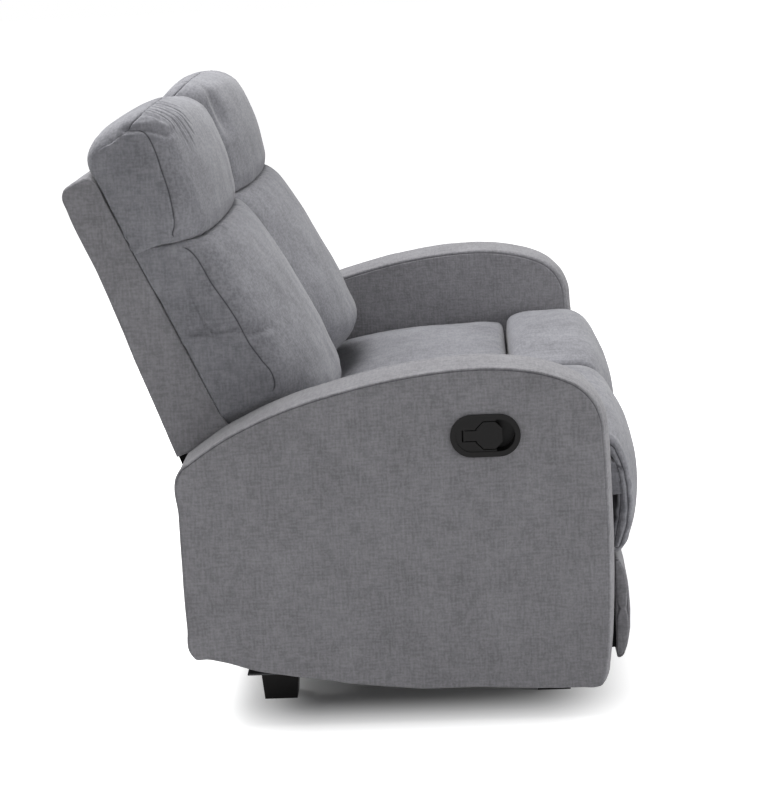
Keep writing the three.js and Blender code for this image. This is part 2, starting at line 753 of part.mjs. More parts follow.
const pivotOffset = [
  parallelSpacing * Math.cos(ottomanLinkAngle),
  parallelSpacing * Math.sin(ottomanLinkAngle),
];
const elbow = [
  footrestPivot[0] - ottomanLinkLength * Math.cos(ottomanLinkAngle),
  footrestPivot[1] - ottomanLinkLength * Math.sin(ottomanLinkAngle),
];
const shifted = (point) => [point[0] + pivotOffset[0], point[1] + pivotOffset[1]];
const parallelPivot = shifted(drivePivot);
const parallelElbow = shifted(elbow);
// The flats of a faceted hole clear the pin all round
const linkSteps = 4;
const holeFor = (radius) => (radius + contactGap) / Math.cos(Math.PI / (2 * linkSteps));

function seatPlate(hand) {
  const low = baseTop + contactGap;
  const high = seatFrameBottom - contactGap;
  const nose = (high - low) / 2;
  const web = new THREE.Shape();
  web.moveTo(plateFront + nose, low);
  web.lineTo(plateRear, low);
  web.lineTo(plateRear, high - nose);
  web.lineTo(plateRear - nose, high);
  web.lineTo(plateFront, high);
  web.lineTo(plateFront, high - nose);
  const holes = [[drivePivot, pinRadius], [parallelPivot, pinRadius], [backPivot, backPinRadius]];
  for (const [centre, radius] of holes) {
    web.holes.push(new THREE.Path().absarc(...centre, holeFor(radius), 0, 2 * Math.PI, true));
  }
  const inner = hand * (plateHalfSpan - plateThickness / 2);
  const outer = hand * (plateHalfSpan + plateThickness / 2);
  const wide = outer + hand * plateFlange;
  const flange = (fromY, toY, bottom) => block(
    [Math.min(inner, wide), fromY, bottom], [Math.max(inner, wide), toY, bottom + plateThickness],
  );
  return joined([
    plate(web, inner, outer, linkSteps),
    flange(plateFront, seatFrameRear, high - plateThickness),
    flange(plateFront + nose, plateRear - 2 * nose, low),
  ]);
}

// Footrest links: the drive links outside, the ottoman links between, the parallel links inside
const plateInnerFace = plateHalfSpan - plateThickness / 2;
const plateOuterFace = plateHalfSpan + plateThickness / 2;
const layerAt = (layer) => plateInnerFace - contactGap - linkThickness / 2 - layer * linkLayer;

function linkPlate(hand, layer, pivots, holes) {
  const centre = hand * layerAt(layer);
  const shape = barShape(pivots, linkWidth, holes, holeFor(pinRadius));
  return plate(shape, centre - linkThickness / 2, centre + linkThickness / 2, linkSteps);
}

// A riveted pin along the width at a pivot, with a head at its far end
function pin(hand, pivot, fromX, toX) {
  const direction = Math.sign(toX - fromX);
  const end = toX + direction * (contactGap + pinHeadThickness);
  return joined([
    rod(pinRadius, [hand * fromX, ...pivot], [hand * end, ...pivot]),
    rod(pinHeadRadius, [hand * (end - direction * pinHeadThickness), ...pivot], [hand * end, ...pivot]),
  ]);
}

function driveLinks() {
  const parts = [];
  for (const hand of [-1, 1]) {
    parts.push(linkPlate(hand, 0, [drivePivot, elbow], []));
    parts.push(pin(hand, drivePivot, layerAt(0), plateOuterFace));
    parts.push(pin(hand, elbow, layerAt(0), layerAt(1) - linkThickness / 2));
  }
  parts.push(rod(driveTubeRadius, [-layerAt(0), ...drivePivot], [layerAt(0), ...drivePivot]));
  return joined(parts);
}

function parallelLinks() {
  const parts = [];
  for (const hand of [-1, 1]) {
    parts.push(linkPlate(hand, 2, [parallelPivot, parallelElbow], []));
    parts.push(pin(hand, parallelPivot, layerAt(2), plateOuterFace));
    parts.push(pin(hand, parallelElbow, layerAt(2), layerAt(1) + linkThickness / 2));
  }
  parts.push(rod(parallelRodRadius, [-layerAt(2), ...parallelPivot], [layerAt(2), ...parallelPivot]));
  return joined(parts);
}

function ottomanLinks() {
  const tube = [
    THREE.MathUtils.lerp(elbow[0], footrestPivot[0], ottomanTubeShare),
    THREE.MathUtils.lerp(elbow[1], footrestPivot[1], ottomanTubeShare),
  ];
  const parts = [];
  for (const hand of [-1, 1]) {
    parts.push(linkPlate(hand, 1, [elbow, footrestPivot], [elbow, parallelElbow]));
    parts.push(pin(hand, footrestPivot, layerAt(1), layerAt(2) - linkThickness / 2));
  }
  parts.push(rod(ottomanTubeRadius, [-layerAt(1), ...tube], [layerAt(1), ...tube]));
  return joined(parts);
}

// The footrest's board with a steel lug on each side that hangs on the ottoman links
function ottomanFrame() {
  const front = ottomanBoardRear - ottomanBoardThickness;
  const board = block(
    [-ottomanWidth / 2, front, ottomanBoardBottom], [ottomanWidth / 2, ottomanBoardRear, ottomanBoardTop],
  );
  const parts = [board];
  const half = linkWidth / 2;
  for (const hand of [-1, 1]) {
    const centre = hand * layerAt(2);
    const lug = new THREE.Shape();
    lug.moveTo(ottomanBoardRear - ottomanBoardThickness / 2, footrestPivot[1] + bracketFoot / 2);
    lug.lineTo(ottomanBoardRear - ottomanBoardThickness / 2, footrestPivot[1] - bracketFoot);
    lug.lineTo(footrestPivot[0], footrestPivot[1] - half);
    lug.absarc(...footrestPivot, half, -Math.PI / 2, Math.PI / 2, false);
    lug.holes.push(new THREE.Path().absarc(...footrestPivot, holeFor(pinRadius), 0, 2 * Math.PI, true));
    parts.push(plate(lug, centre - linkThickness / 2, centre + linkThickness / 2, linkSteps));
  }
  return joined(parts);
}

// Seat upholstery

const padBottom = seatFrameTop + contactGap;

function rearPad() {
  const front = seatCreaseDepth + creaseHalfWidth;
  const place = ([along, up, softness]) => [
    front + along * rearPadLength, padBottom + up * rearPadHeight, softness,
  ];
  return cushionForm(rearPadSideShares.map(place), rearPadMiddleShares.map(place), padWidth, padDrawIn);
}

function frontPad() {
  const rear = seatCreaseDepth - creaseHalfWidth;
  const noseBottom = flapHinge[1] + flapClearance;
  const start = rear - frontPadLength;
  const corners = (shares, noseShare) => [
    [start, padBottom, 0.2],
    ...shares.map(([along, up, softness]) => [
      start + along * frontPadLength, padBottom + up * frontPadHeight, softness,
    ]),
    [flapHinge[0] * noseShare, noseBottom, 0.3],
    [start, noseBottom, 0.2],
  ];
  const side = corners(frontPadSideShares, noseSideShare);
  const middle = corners(frontPadMiddleShares, 1);
  return cushionForm(side, middle, padWidth, padDrawIn);
}

function seatFlap() {
  const top = flapHinge[1] - flapClearance;
  const place = ([forward, down, softness]) => [
    flapRearFace - forward * flapThickness, top - down * flapLength, softness,
  ];
  return cushionForm(flapSideShares.map(place), flapMiddleShares.map(place), padWidth, padDrawIn);
}

function ottomanPad() {
  const rear = ottomanBoardRear - ottomanBoardThickness - contactGap;
  const place = ([forward, down, softness]) => [
    rear - forward * ottomanPadDepth, ottomanPadTop - down * ottomanPadHeight, softness,
  ];
  return cushionForm(ottomanSideShares.map(place), ottomanMiddleShares.map(place), padWidth, padDrawIn);
}

// Back, drawn upright on its datum: the rear face is the plane of depth 0

function shellFront(height) {
  return THREE.MathUtils.lerp(shellBottomThickness, shellTopThickness, height / shellHeight);
}

function backShell() {
  const half = padWidth / 2;
  const softness = 2 * shellCorner / shellHeight;
  const outline = softOutline([
    [0, 0, 0.01], [0, shellHeight, softness],
    [-shellFront(shellHeight), shellHeight, softness], [-shellFront(0), 0, 0.01],
  ]);
  const body = plate(outlineShape(counterClockwise(outline)), -half, half);
  const hollow = block(
    [-half + shellWall, -2 * shellBottomThickness, -cutOverrun],
    [half - shellWall, -shellWall, shellHeight - shellWall],
  );
  return body.subtract(hollow);
}

function backFrame() {
  const half = padWidth / 2 - shellWall - contactGap;
  const rear = -shellWall - contactGap;
  const top = shellHeight - shellWall - contactGap;
  const outer = block([-half, rear - backFrameDepth, contactGap], [half, rear, top]);
  const between = (low, high) => block(
    [-half + backFramePost, rear - backFrameDepth - cutOverrun, low],
    [half - backFramePost, rear + cutOverrun, high],
  );
  const mouth = between(-cutOverrun, backRailHeight);
  const opening = between(backRailHeight + backFrameRail, top - backFrameRail);
  return outer.subtract(mouth).subtract(opening);
}

function backForm(sideShares, middleShares, bottom, height, depth) {
  const place = ([forward, up, softness]) => {
    const level = bottom + up * height;
    return [-shellFront(level) - contactGap - forward * depth, level, softness];
  };
  return cushionForm(sideShares.map(place), middleShares.map(place), padWidth, padDrawIn);
}

const backCushion = () => backForm(
  cushionSideShares, cushionMiddleShares, cushionTop - cushionHeight, cushionHeight, cushionDepth,
);
const headrest = () => backForm(
  headrestSideShares, headrestMiddleShares, headrestBottom, headrestHeight, headrestDepth,
);

// The black lining that closes the back below the shell
function backLining() {
  const half = padWidth / 2 - liningSideMargin;
  return block([-half, -liningThickness, -liningDrop], [half, 0, -contactGap]);
}

// Two bars from the seat's side plates up into the back frame, joined by a tube
function backBrackets() {
  const bar = [backBarLength * Math.sin(backBarLean), backBarLength * Math.cos(backBarLean)];
  const top = [backPivot[0] + bar[0], backPivot[1] + bar[1]];
  const tube = [backPivot[0] + backTubeShare * bar[0], backPivot[1] + backTubeShare * bar[1]];
  const outerFace = padWidth / 2 - shellWall - contactGap - backFramePost - contactGap;
  const innerFace = outerFace - plateThickness;
  const headEnd = plateInnerFace - contactGap;
  const headStart = headEnd - pinHeadThickness;
  const parts = [];
  for (const hand of [-1, 1]) {
    parts.push(plate(barShape([backPivot, top], backBarWidth, [], 0), hand * innerFace, hand * outerFace));
    parts.push(rod(backPinRadius, [hand * innerFace, ...backPivot], [hand * headStart, ...backPivot]));
    parts.push(rod(2 * backPinRadius, [hand * headStart, ...backPivot], [hand * headEnd, ...backPivot]));
  }
  parts.push(rod(backTubeRadius, [-innerFace, ...tube], [innerFace, ...tube]));
  return joined(parts);
}

function rearRail() {
  const half = seatPitch - contactGap;
  const [front, rear] = [rearRailDepth, rearRailDepth + rearRailThickness];
  const [low, high] = [rearRailBottom, rearRailBottom + rearRailHeight];
  const share = 2 * rearRailEdge / rearRailThickness;
  const corner = share * rearRailThickness / rearRailHeight;
  const outline = softOutline([
    [front, low, corner], [rear, low, corner], [rear, high, corner], [front, high, corner],
  ]);
  return plate(outlineShape(outline), -half, half);
}

// Assembly

function seatModule(label, side) {
  const seat = new THREE.Group();
  seat.position.x = side * seatPitch / 2;
  seat.add(named(`base_frame_${label}`, baseFrame(), steel()));
  for (const [handName, hand] of [['outer', side], ['inner', -side]]) {
    seat.add(named(`seat_plate_${handName}_${label}`, seatPlate(hand), steel()));
    footDepths.forEach((depth, index) => {
      const place = ['front', 'rear'][index];
      seat.add(named(`foot_${place}_${handName}_${label}`, foot(hand, depth), plastic()));
    });
  }
  seat.add(named(`seat_frame_${label}`, seatFrame(), wood()));
  seat.add(named(`spring_unit_${label}`, springUnit(), steel()));
  seat.add(named(`rear_seat_pad_${label}`, rearPad(), seatFabric()));
  seat.add(named(`front_seat_pad_${label}`, frontPad(), seatFabric()));
  seat.add(named(`seat_flap_${label}`, seatFlap(), seatFabric()));
  seat.add(named(`drive_links_${label}`, driveLinks(), steel()));
  seat.add(named(`parallel_links_${label}`, parallelLinks(), steel()));
  seat.add(named(`ottoman_links_${label}`, ottomanLinks(), steel()));
  seat.add(named(`ottoman_frame_${label}`, ottomanFrame(), wood()));
  seat.add(named(`ottoman_pad_${label}`, ottomanPad(), fabric()));
  seat.add(named(`back_brackets_${label}`, backBrackets(), steel()));
  const back = new THREE.Group();
  back.position.set(0, ...backDatum);
  back.rotation.x = -backTilt;
  back.add(named(`back_shell_${label}`, backShell(), fabric()));
  back.add(named(`back_frame_${label}`, backFrame(), wood()));
  back.add(named(`back_cushion_${label}`, backCushion(), seatFabric()));
  back.add(named(`headrest_${label}`, headrest(), seatFabric()));
  back.add(named(`back_lining_${label}`, backLining(), lining()));
  seat.add(back);
  return seat;
}

function armModule(label, side) {
  const arm = new THREE.Group();
  arm.add(named(`arm_cover_${label}`, armCover(side), fabric()));
  arm.add(named(`arm_frame_${label}`, armFrame(side), wood()));
  arm.add(named(`arm_board_${label}`, armBoard(side), wood()));
  arm.add(named(`release_cable_${label}`, releaseCable(side), plastic()));
  const handle = new THREE.Group();
  handle.position.set(side * sofaWidth / 2, handleDepth, handleHeight);
  handle.rotation.y = side < 0 ? Math.PI : 0;
  handle.add(named(`handle_bezel_${label}`, handleBezel(), plastic()));
  handle.add(named(`handle_paddle_${label}`, handlePaddle(), plastic()));
  arm.add(handle);
  return arm;
}

const sofa = new THREE.Group();
for (const [label, side] of [['right', -1], ['left', 1]]) {
  sofa.add(seatModule(label, side));
  sofa.add(armModule(label, side));
}
sofa.add(named('rear_rail', rearRail(), fabric()));

// The origin is under the middle of the whole sofa
const bounds = new THREE.Box3().setFromObject(sofa, true);
sofa.position.y = -(bounds.min.y + bounds.max.y) / 2;

export default sofa;
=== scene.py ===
"""A two-seat reclining sofa in grey velour: upholstery, release handles and mechanism."""

import math

import bpy
import numpy as np
from mathutils import Matrix, Vector


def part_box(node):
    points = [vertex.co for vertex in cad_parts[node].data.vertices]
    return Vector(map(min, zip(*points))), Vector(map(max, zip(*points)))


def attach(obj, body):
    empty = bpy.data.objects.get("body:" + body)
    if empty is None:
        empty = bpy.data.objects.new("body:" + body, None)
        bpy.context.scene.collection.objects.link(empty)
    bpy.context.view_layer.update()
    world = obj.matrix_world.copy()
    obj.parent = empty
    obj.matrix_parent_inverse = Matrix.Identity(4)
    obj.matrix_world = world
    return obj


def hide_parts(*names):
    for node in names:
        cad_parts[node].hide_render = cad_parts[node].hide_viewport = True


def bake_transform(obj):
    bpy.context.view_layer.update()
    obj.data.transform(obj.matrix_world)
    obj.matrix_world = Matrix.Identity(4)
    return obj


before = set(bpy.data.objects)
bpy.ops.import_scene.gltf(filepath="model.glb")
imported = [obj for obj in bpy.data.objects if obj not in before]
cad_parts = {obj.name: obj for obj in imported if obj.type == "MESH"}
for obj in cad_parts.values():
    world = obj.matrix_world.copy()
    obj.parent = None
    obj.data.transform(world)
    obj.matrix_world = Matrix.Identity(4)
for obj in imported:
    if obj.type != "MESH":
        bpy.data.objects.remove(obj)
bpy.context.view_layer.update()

bl_info = {
    "name": "Reclining sofa",
    "version": (1, 0, 0),
    "blender": (4, 5, 0),
    "location": "3D View > Sidebar > Sofa",
    "description": "Builds a two-seat reclining sofa round its frame",
    "category": "Add Mesh",
}

MM = 0.001
SIDES = (("right", -1), ("left", 1))

# The plane of the arms' front edges lies this far before the base frames
FRAME_SETBACK = 60
ARM_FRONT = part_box("base_frame_right")[0].y / MM - FRAME_SETBACK

# Across the sofa: from its middle to that of a seat and of an arm, and half the width of a pad and of an arm
SEAT_CENTRE = 296
PAD_HALF = 293
ARM_CENTRE = 656
ARM_HALF = 64
# The seat pads stand this much nearer to each other, clear of the arms
PAD_SHIFT = 1

# The middle of the handle's plate, and how far out the back and front of its flat part lie
HANDLE_CENTRE = (201, 502)
HANDLE_FACE = (716.5, 721.8)
# Seen from that middle: the round end of the flat part, and the lower half of its notch round stem and blade
FACE_END, FACE_RADIUS = 22.5, 28
FACE_NOTCH = ((-19, -28), (-19, -24.3), (3.6, -24.3), (15.9, -12), (15.9, -9.8), (39.3, -9.8))

# Outlines in depth behind the arm fronts and height above the floor, with the softness of each corner
REAR_SEAT_SIDE = (
    (146, 352.5, 0.3), (525, 352.5, 0.3), (525, 423, 0.6), (381, 448, 1), (267, 453, 1), (184, 456, 0.9),
    (147, 450, 0.7), (146, 403, 0.5),
)
REAR_SEAT_MIDDLE = (
    (146, 352.5, 0.3), (525, 352.5, 0.3), (525, 433, 0.8), (381, 468, 1), (267, 475, 1), (184, 475, 0.9),
    (147, 461, 0.8), (146, 403, 0.5),
)
FRONT_SEAT_SIDE = (
    (140, 352.5, 0.3), (140, 431, 0.5), (137, 463, 0.8), (101, 475, 1), (52, 475, 1), (2, 475, 1),
    (-24, 461, 1), (-34, 434, 1), (-45, 400, 1), (-51, 350, 1), (-48, 302, 1), (-37, 266, 1), (-24, 249, 1),
    (-10, 258, 0.8), (-12, 276, 1), (-20, 312, 1), (-24, 350, 1), (-20, 392, 1), (-8, 425, 0.8),
    (0, 436, 0.3), (0, 352.5, 0.2),
)
FRONT_SEAT_MIDDLE = (
    (140, 352.5, 0.3), (140, 436, 0.5), (138.6, 481, 0.8), (107, 505, 1), (52, 508, 1), (-2, 513, 1),
    (-38, 489, 1), (-57, 441, 1), (-71, 398, 1), (-76, 350, 1), (-71.5, 298, 1), (-60, 254, 1), (-38, 224, 1),
    (-17, 231, 0.8), (-22, 262, 1), (-34, 310, 1), (-38, 352, 1), (-34, 395, 1), (-18, 428, 0.8),
    (0, 436, 0.3), (0, 352.5, 0.2),
)
FRONT_SEAT_SPINE = ((70, 415), (5, 440), (-18, 428), (-30, 395), (-36, 350), (-32, 305), (-24, 268))
FOOTREST_SIDE = (
    (-17.3, 243, 0.2), (-24, 243, 0.7), (-38, 213, 1), (-43.5, 150, 1), (-41, 94, 1), (-29, 58, 1),
    (-17.3, 56, 0.3), (-17.3, 150, 0.2),
)
FOOTREST_MIDDLE = (
    (-17.3, 220.5, 0.2), (-31, 223, 0.8), (-46, 192, 1), (-50, 141, 1), (-47.4, 87, 1), (-34.6, 56, 1),
    (-17.3, 54, 0.3), (-17.3, 145, 0.2),
)

# The back leans on this point; its outlines are drawn upright from it: forward is negative
BACK_DATUM = (738, 452)
BACK_TILT = math.radians(19.3)
SHELL_HEIGHT = 508
SHELL_THICKNESS = (104, 56)

# Points of each outline, with the radius of the rounded edge there and whether the outline turns sharply
HEADREST_SIDE = (
    (-71, 355, 0.8, True), (-65, 440, 7, False), (-60, 500, 8, False), (-58, 513, 10, False),
    (-59, 524, 14, False), (-65, 541, 20, False), (-77, 553, 24, False), (-98, 563, 27, False),
    (-126, 570, 32, False), (-152, 574, 40, False), (-176, 572, 50, False), (-193, 557, 45, False),
    (-201, 538, 41, False), (-202, 510, 38, False), (-199, 470, 38, False), (-197, 430, 40, False),
    (-194, 395, 46, False), (-190, 362, 54, False), (-180, 344, 54, False), (-158, 345, 24, False),
    (-115, 353, 5, False),
)
HEADREST_MIDDLE = (
    (-71, 352, 2, True), (-64, 440, 7, False), (-56, 511, 8, True), (-34, 514, 12, False),
    (-33, 526, 18, False), (-46, 546, 24, False), (-66, 562, 26, False), (-95, 572, 28, False),
    (-125, 577, 32, False), (-152, 579, 40, False), (-178, 576, 50, False), (-198, 564, 44, False),
    (-217, 546, 40, False), (-228, 518, 38, False), (-234, 474, 38, False), (-233, 424, 38, False),
    (-227, 388, 46, False), (-219, 357, 54, False), (-206, 338, 54, False), (-180, 336, 24, False),
    (-120, 346, 7, False),
)
HEADREST_SPINE = ((-112, 540), (-116, 382))
CUSHION_SIDE = (
    (-100, 40, 4, True), (-85.6, 200, 8, False), (-71, 357, 0.8, True), (-105, 356, 3, False),
    (-131, 351, 7, False), (-160, 345, 14, False), (-186, 335, 34, False), (-197, 315, 40, False),
    (-200, 296, 40, False), (-203, 268, 40, False), (-210, 216, 34, False), (-215, 177, 32, False),
    (-217, 147, 32, False), (-225, 107, 30, False), (-226, 72, 22, False), (-214, 50, 12, False),
    (-150, 40, 8, False),
)
CUSHION_MIDDLE = (
    (-110, -60, 4, True), (-85.6, 200, 8, False), (-71, 350, 3, True), (-120, 344, 3, False),
    (-178, 337, 7, False), (-203, 342, 14, False), (-220, 336, 34, False), (-236, 314, 40, False),
    (-242, 298, 40, False), (-249, 274, 40, False), (-260, 224, 34, False), (-268, 168, 32, False),
    (-273, 138, 32, False), (-279, 98, 30, False), (-283, 40, 22, False), (-280, -24, 12, False),
    (-235, -56, 8, False),
)
CUSHION_SPINE = ((-128, 305), (-146, 100))
SHELL = (
    (1, 0, 4, True), (2, 170, 6, False), (2, 340, 6, False), (7, 470, 6, False), (6, 492, 6, False),
    (-1, 502, 7, False), (-18, 507, 8, False), (-37, 509, 9, False), (-49, 507, 8, False),
    (-56, 497, 8, False), (-61, 455, 7, False), (-72, 340, 7, False), (-88, 170, 7, False),
    (-104, 0, 4, True), (-52, 0, 4, False),
)
ARM = (
    (27, 51), (18, 54), (13, 63), (9, 85), (5, 120), (1, 190), (0, 397), (3, 484), (7, 526), (20, 555),
    (46, 581), (72, 594), (99, 603), (148, 612.5), (196, 616), (250, 615), (319, 608), (387, 597), (456, 581),
    (520, 563), (579, 541), (647, 508), (716, 463), (724, 450), (725, 378), (723, 182), (721, 137),
    (712, 125), (692, 124), (664, 117.5), (609, 102), (553, 90), (502, 81), (450, 73.5), (382, 65.5),
    (228, 57), (120, 53), (50, 51),
)
ARM_CORNER = (716, 463)

# The arm cover: points round it, the radius of its inner and outer edge, and where on the turn the seam lies
ARM_COLUMNS = 560
ARM_EDGES = {-1: 8.0, 1: 3.5}
SEWN_SHARE = 0.25
# The inner panel gathers to a point; the outer one ends at a hole behind the handle's plate, with a lip
ARM_MIDDLE = (330.0, 330.0)
ARM_HOLE = (106.6, 61.6)
ARM_LIP = 14
# Rows of points across the band, and as shares of the way over a panel near its edge
BAND_ROWS = np.concatenate([[-50.5, -48, -45], np.linspace(-41, 47, 19), [50, 53, 55.5, 57.5]])
EDGE_SHARES = np.geomspace(0.085, 0.004, 9)

# The cloth that closes a back, flat: half its width, its height and its points each way
LINING_HALF, LINING_DROP = 283, 170
LINING_COLUMNS, LINING_ROWS = 60, 20


# Shapes

# The least radius of a rounded edge
LEAST_EDGE = 0.6
# Rows of points are this far from a seam beside it, and the even ones stay clear of them
MARK_OFFSETS = (-7, -4.4, -2.6, -1.3, 0, 1.3, 2.6, 4.4, 7)
MARK_CLEAR = 8.5
# How the corners of the noise's lattice are scattered
NOISE_PRIMES = np.array([73856093, 19349663, 83492791])
NOISE_SEED, NOISE_SCATTER = 2654435761, 1274126177


def dense_ring(corners, per_piece=24):
    """A closed outline with rounded corners, as many points for each corner and each edge."""
    points = []
    count = len(corners)
    reach = [corner[2] / 2 for corner in corners]
    flat = [np.array(corner[:2], float) for corner in corners]
    for index in range(count):
        here, before, after = flat[index], flat[index - 1], flat[(index + 1) % count]
        start = here + (before - here) * reach[index]
        end = here + (after - here) * reach[index]
        following = (index + 1) % count
        link = flat[following] + (here - flat[following]) * reach[following]
        for step in range(per_piece):
            share = step / per_piece
            points.append((1 - share) ** 2 * start + 2 * share * (1 - share) * here + share**2 * end)
        for step in range(per_piece):
            points.append(end + (link - end) * step / per_piece)
    return np.array(points)


def closed_curve(points, per_piece=24):
    """A closed outline that passes through its points, with the edge radius carried along it."""
    count = len(points)
    spots = np.array([point[:3] for point in points], float)
    found = []
    for index in range(count):
        before, here, after, beyond = (spots[(index + step) % count] for step in (-1, 0, 1, 2))
        reach = np.linalg.norm((after - here)[:2])
        leave = after - here if points[index][3] else tangent(before, here, after) * reach
        arrive = after - here if points[(index + 1) % count][3] else tangent(here, after, beyond) * reach
        for step in range(per_piece):
            t = step / per_piece
            found.append((2 * t**3 - 3 * t**2 + 1) * here + (t**3 - 2 * t**2 + t) * leave
                         + (3 * t**2 - 2 * t**3) * after + (t**3 - t**2) * arrive)
    found = np.array(found)
    found[:, 2] = np.maximum(found[:, 2], LEAST_EDGE)
    return found


def tangent(before, here, after):
    """The direction of a smooth curve at a point, weighted to the nearer neighbour."""
    back, forth = here - before, after - here
    near, far = np.linalg.norm(back[:2]), np.linalg.norm(forth[:2])
    return (back / near * far + forth / far * near) / (near + far)


def with_edge(ring, edge):
    """An outline with the same edge radius all round."""
    return np.column_stack([ring, np.full(len(ring), float(edge))])


def arc_lengths(ring):
    """How far along a closed outline each of its points lies, and the whole way round."""
    steps = np.linalg.norm(np.roll(ring, -1, axis=0) - ring, axis=1)
    return np.concatenate([[0], np.cumsum(steps)[:-1]]), steps.sum()


def sample_ring(ring, places):
    """Points of a closed outline at fractional places in its list."""
    count = len(ring)
    low = np.floor(places).astype(int)
    share = (places - low)[:, None]
    return ring[low % count] * (1 - share) + ring[(low + 1) % count] * share


def spread(length, spacing, marks=(), closed=False):
    """Places from 0 to a length at about a spacing, packed closer round each mark."""
    places = set(np.linspace(0, length, max(3, int(round(length / spacing))) + 1).tolist())
    for mark in marks:
        places = {place for place in places if abs(place - mark) > MARK_CLEAR}
        places.update(mark + offset for offset in MARK_OFFSETS if 0 <= mark + offset <= length)
    places = sorted(places)
    if closed:
        places = [place for place in places if place < length - spacing / 3]
    return np.array(places)


def leaning(points):
    """Turns an outline of the back from its upright drawing to its place on the sofa."""
    forward, up = points[..., 0], points[..., 1]
    cosine, sine = math.cos(BACK_TILT), math.sin(BACK_TILT)
    depth = BACK_DATUM[0] + forward * cosine + up * sine
    height = BACK_DATUM[1] - forward * sine + up * cosine
    return np.stack([depth, height], axis=-1)


def shell_face(level):
    """How far the front face of the back shell lies before its rear face, at a level up the back."""
    return SHELL_THICKNESS[0] + (SHELL_THICKNESS[1] - SHELL_THICKNESS[0]) * level / SHELL_HEIGHT


def nearest_on(line, points):
    """For each point, the nearest point of an open line of corners."""
    best = np.full(len(points), np.inf)
    found = np.zeros_like(points)
    for start, end in zip(line[:-1], line[1:]):
        start, end = np.array(start, float), np.array(end, float)
        along = end - start
        share = np.clip(((points - start) @ along) / (along @ along), 0, 1)
        spot = start + share[:, None] * along
        distance = np.linalg.norm(points - spot, axis=1)
        closer = distance < best
        best[closer] = distance[closer]
        found[closer] = spot[closer]
    return found


def grid_faces(rows, columns):
    """Quads of a grid that closes on itself round each row, with a face over each end."""
    faces = []
    for row in range(rows - 1):
        for column in range(columns):
            after = (column + 1) % columns
            faces.append((row * columns + column, row * columns + after,
                          (row + 1) * columns + after, (row + 1) * columns + column))
    faces.append(tuple(range(columns))[::-1])
    faces.append(tuple((rows - 1) * columns + column for column in range(columns)))
    return faces


def lattice_noise(points, size, seed):
    """Smooth random values from -1 to 1 that change over about a size, the same on every run."""
    scaled = np.asarray(points) / size
    cell = np.floor(scaled).astype(np.int64)
    share = scaled - cell
    share = share * share * (3 - 2 * share)
    total = np.zeros(len(scaled))
    for corner in range(8):
        offset = np.array([corner & 1, corner >> 1 & 1, corner >> 2 & 1])
        key = (cell + offset) @ NOISE_PRIMES + seed * NOISE_SEED
        key = (key ^ (key >> 13)) * NOISE_SCATTER & 0xFFFFFFFF
        value = ((key ^ (key >> 16)) & 0xFFFF) / 32767.5 - 1
        weight = np.prod(np.where(offset, share, 1 - share), axis=1)
        total += value * weight
    return total


def groove(distance, depth, width):
    """How far a seam pulls the fabric in, at a distance from it."""
    return -depth * np.exp(-((distance / width) ** 2))


def new_piece(name, points, faces, body, node_names, material, seam=None, rides=True):
    """A finished mesh in its place: points in millimetres behind the arm fronts."""
    placed = np.array(points, float)
    placed[:, 1] += ARM_FRONT
    mesh = bpy.data.meshes.new(name)
    mesh.from_pydata((placed * MM).tolist(), [], faces)
    mesh.validate()
    mesh.update()
    mesh.polygons.foreach_set("use_smooth", [True] * len(mesh.polygons))
    if seam is not None:
        mesh.attributes.new("seam", "FLOAT", "POINT").data.foreach_set("value", seam.astype(np.float32))
    mesh.materials.append(material)
    piece = bpy.data.objects.new(name, mesh)
    bpy.context.scene.collection.objects.link(piece)
    if rides:
        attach(piece, body)
    if node_names:
        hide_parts(*node_names)
    return piece


def grid_normals(grid):
    """Outward direction at each point of a closed grid."""
    along = np.roll(grid, -1, axis=1) - np.roll(grid, 1, axis=1)
    across = np.gradient(grid, axis=0)
    normal = np.cross(along, across)
    length = np.linalg.norm(normal, axis=2, keepdims=True)
    normal = normal / np.maximum(length, 1e-9)
    centre = grid.mean(axis=(0, 1))
    if ((grid - centre) * normal).sum() < 0:
        normal = -normal
    return normal


def signed_volume(points, faces):
    """Positive where the faces of a closed mesh look out."""
    quads = np.array([face for face in faces if len(face) == 4])
    corners = [points[quads[:, index]] for index in range(4)]
    first = np.einsum("ij,ij->i", corners[0], np.cross(corners[1], corners[2]))
    return float((first + np.einsum("ij,ij->i", corners[0], np.cross(corners[2], corners[3]))).sum())


# Rows of points over the rounded edge of a cushion, close beside its seam, and inwards on its side panels
TURN_STEPS = np.linspace(0, math.pi / 2, 15)[1:]
SEAM_STEPS = np.array((-0.1, -0.05, -0.025, 0, 0.025, 0.05, 0.1))
PANEL_SHARES = np.array((0.02, 0.05, 0.09, 0.14, 0.2, 0.27, 0.34, 0.42, 0.5, 0.58, 0.66, 0.75, 0.84, 0.94))
# How quickly the crown of a cushion falls off to its sides, and how far its fabric may stand out there
CROWN = 2.4
SIDE_SLACK = 2.6


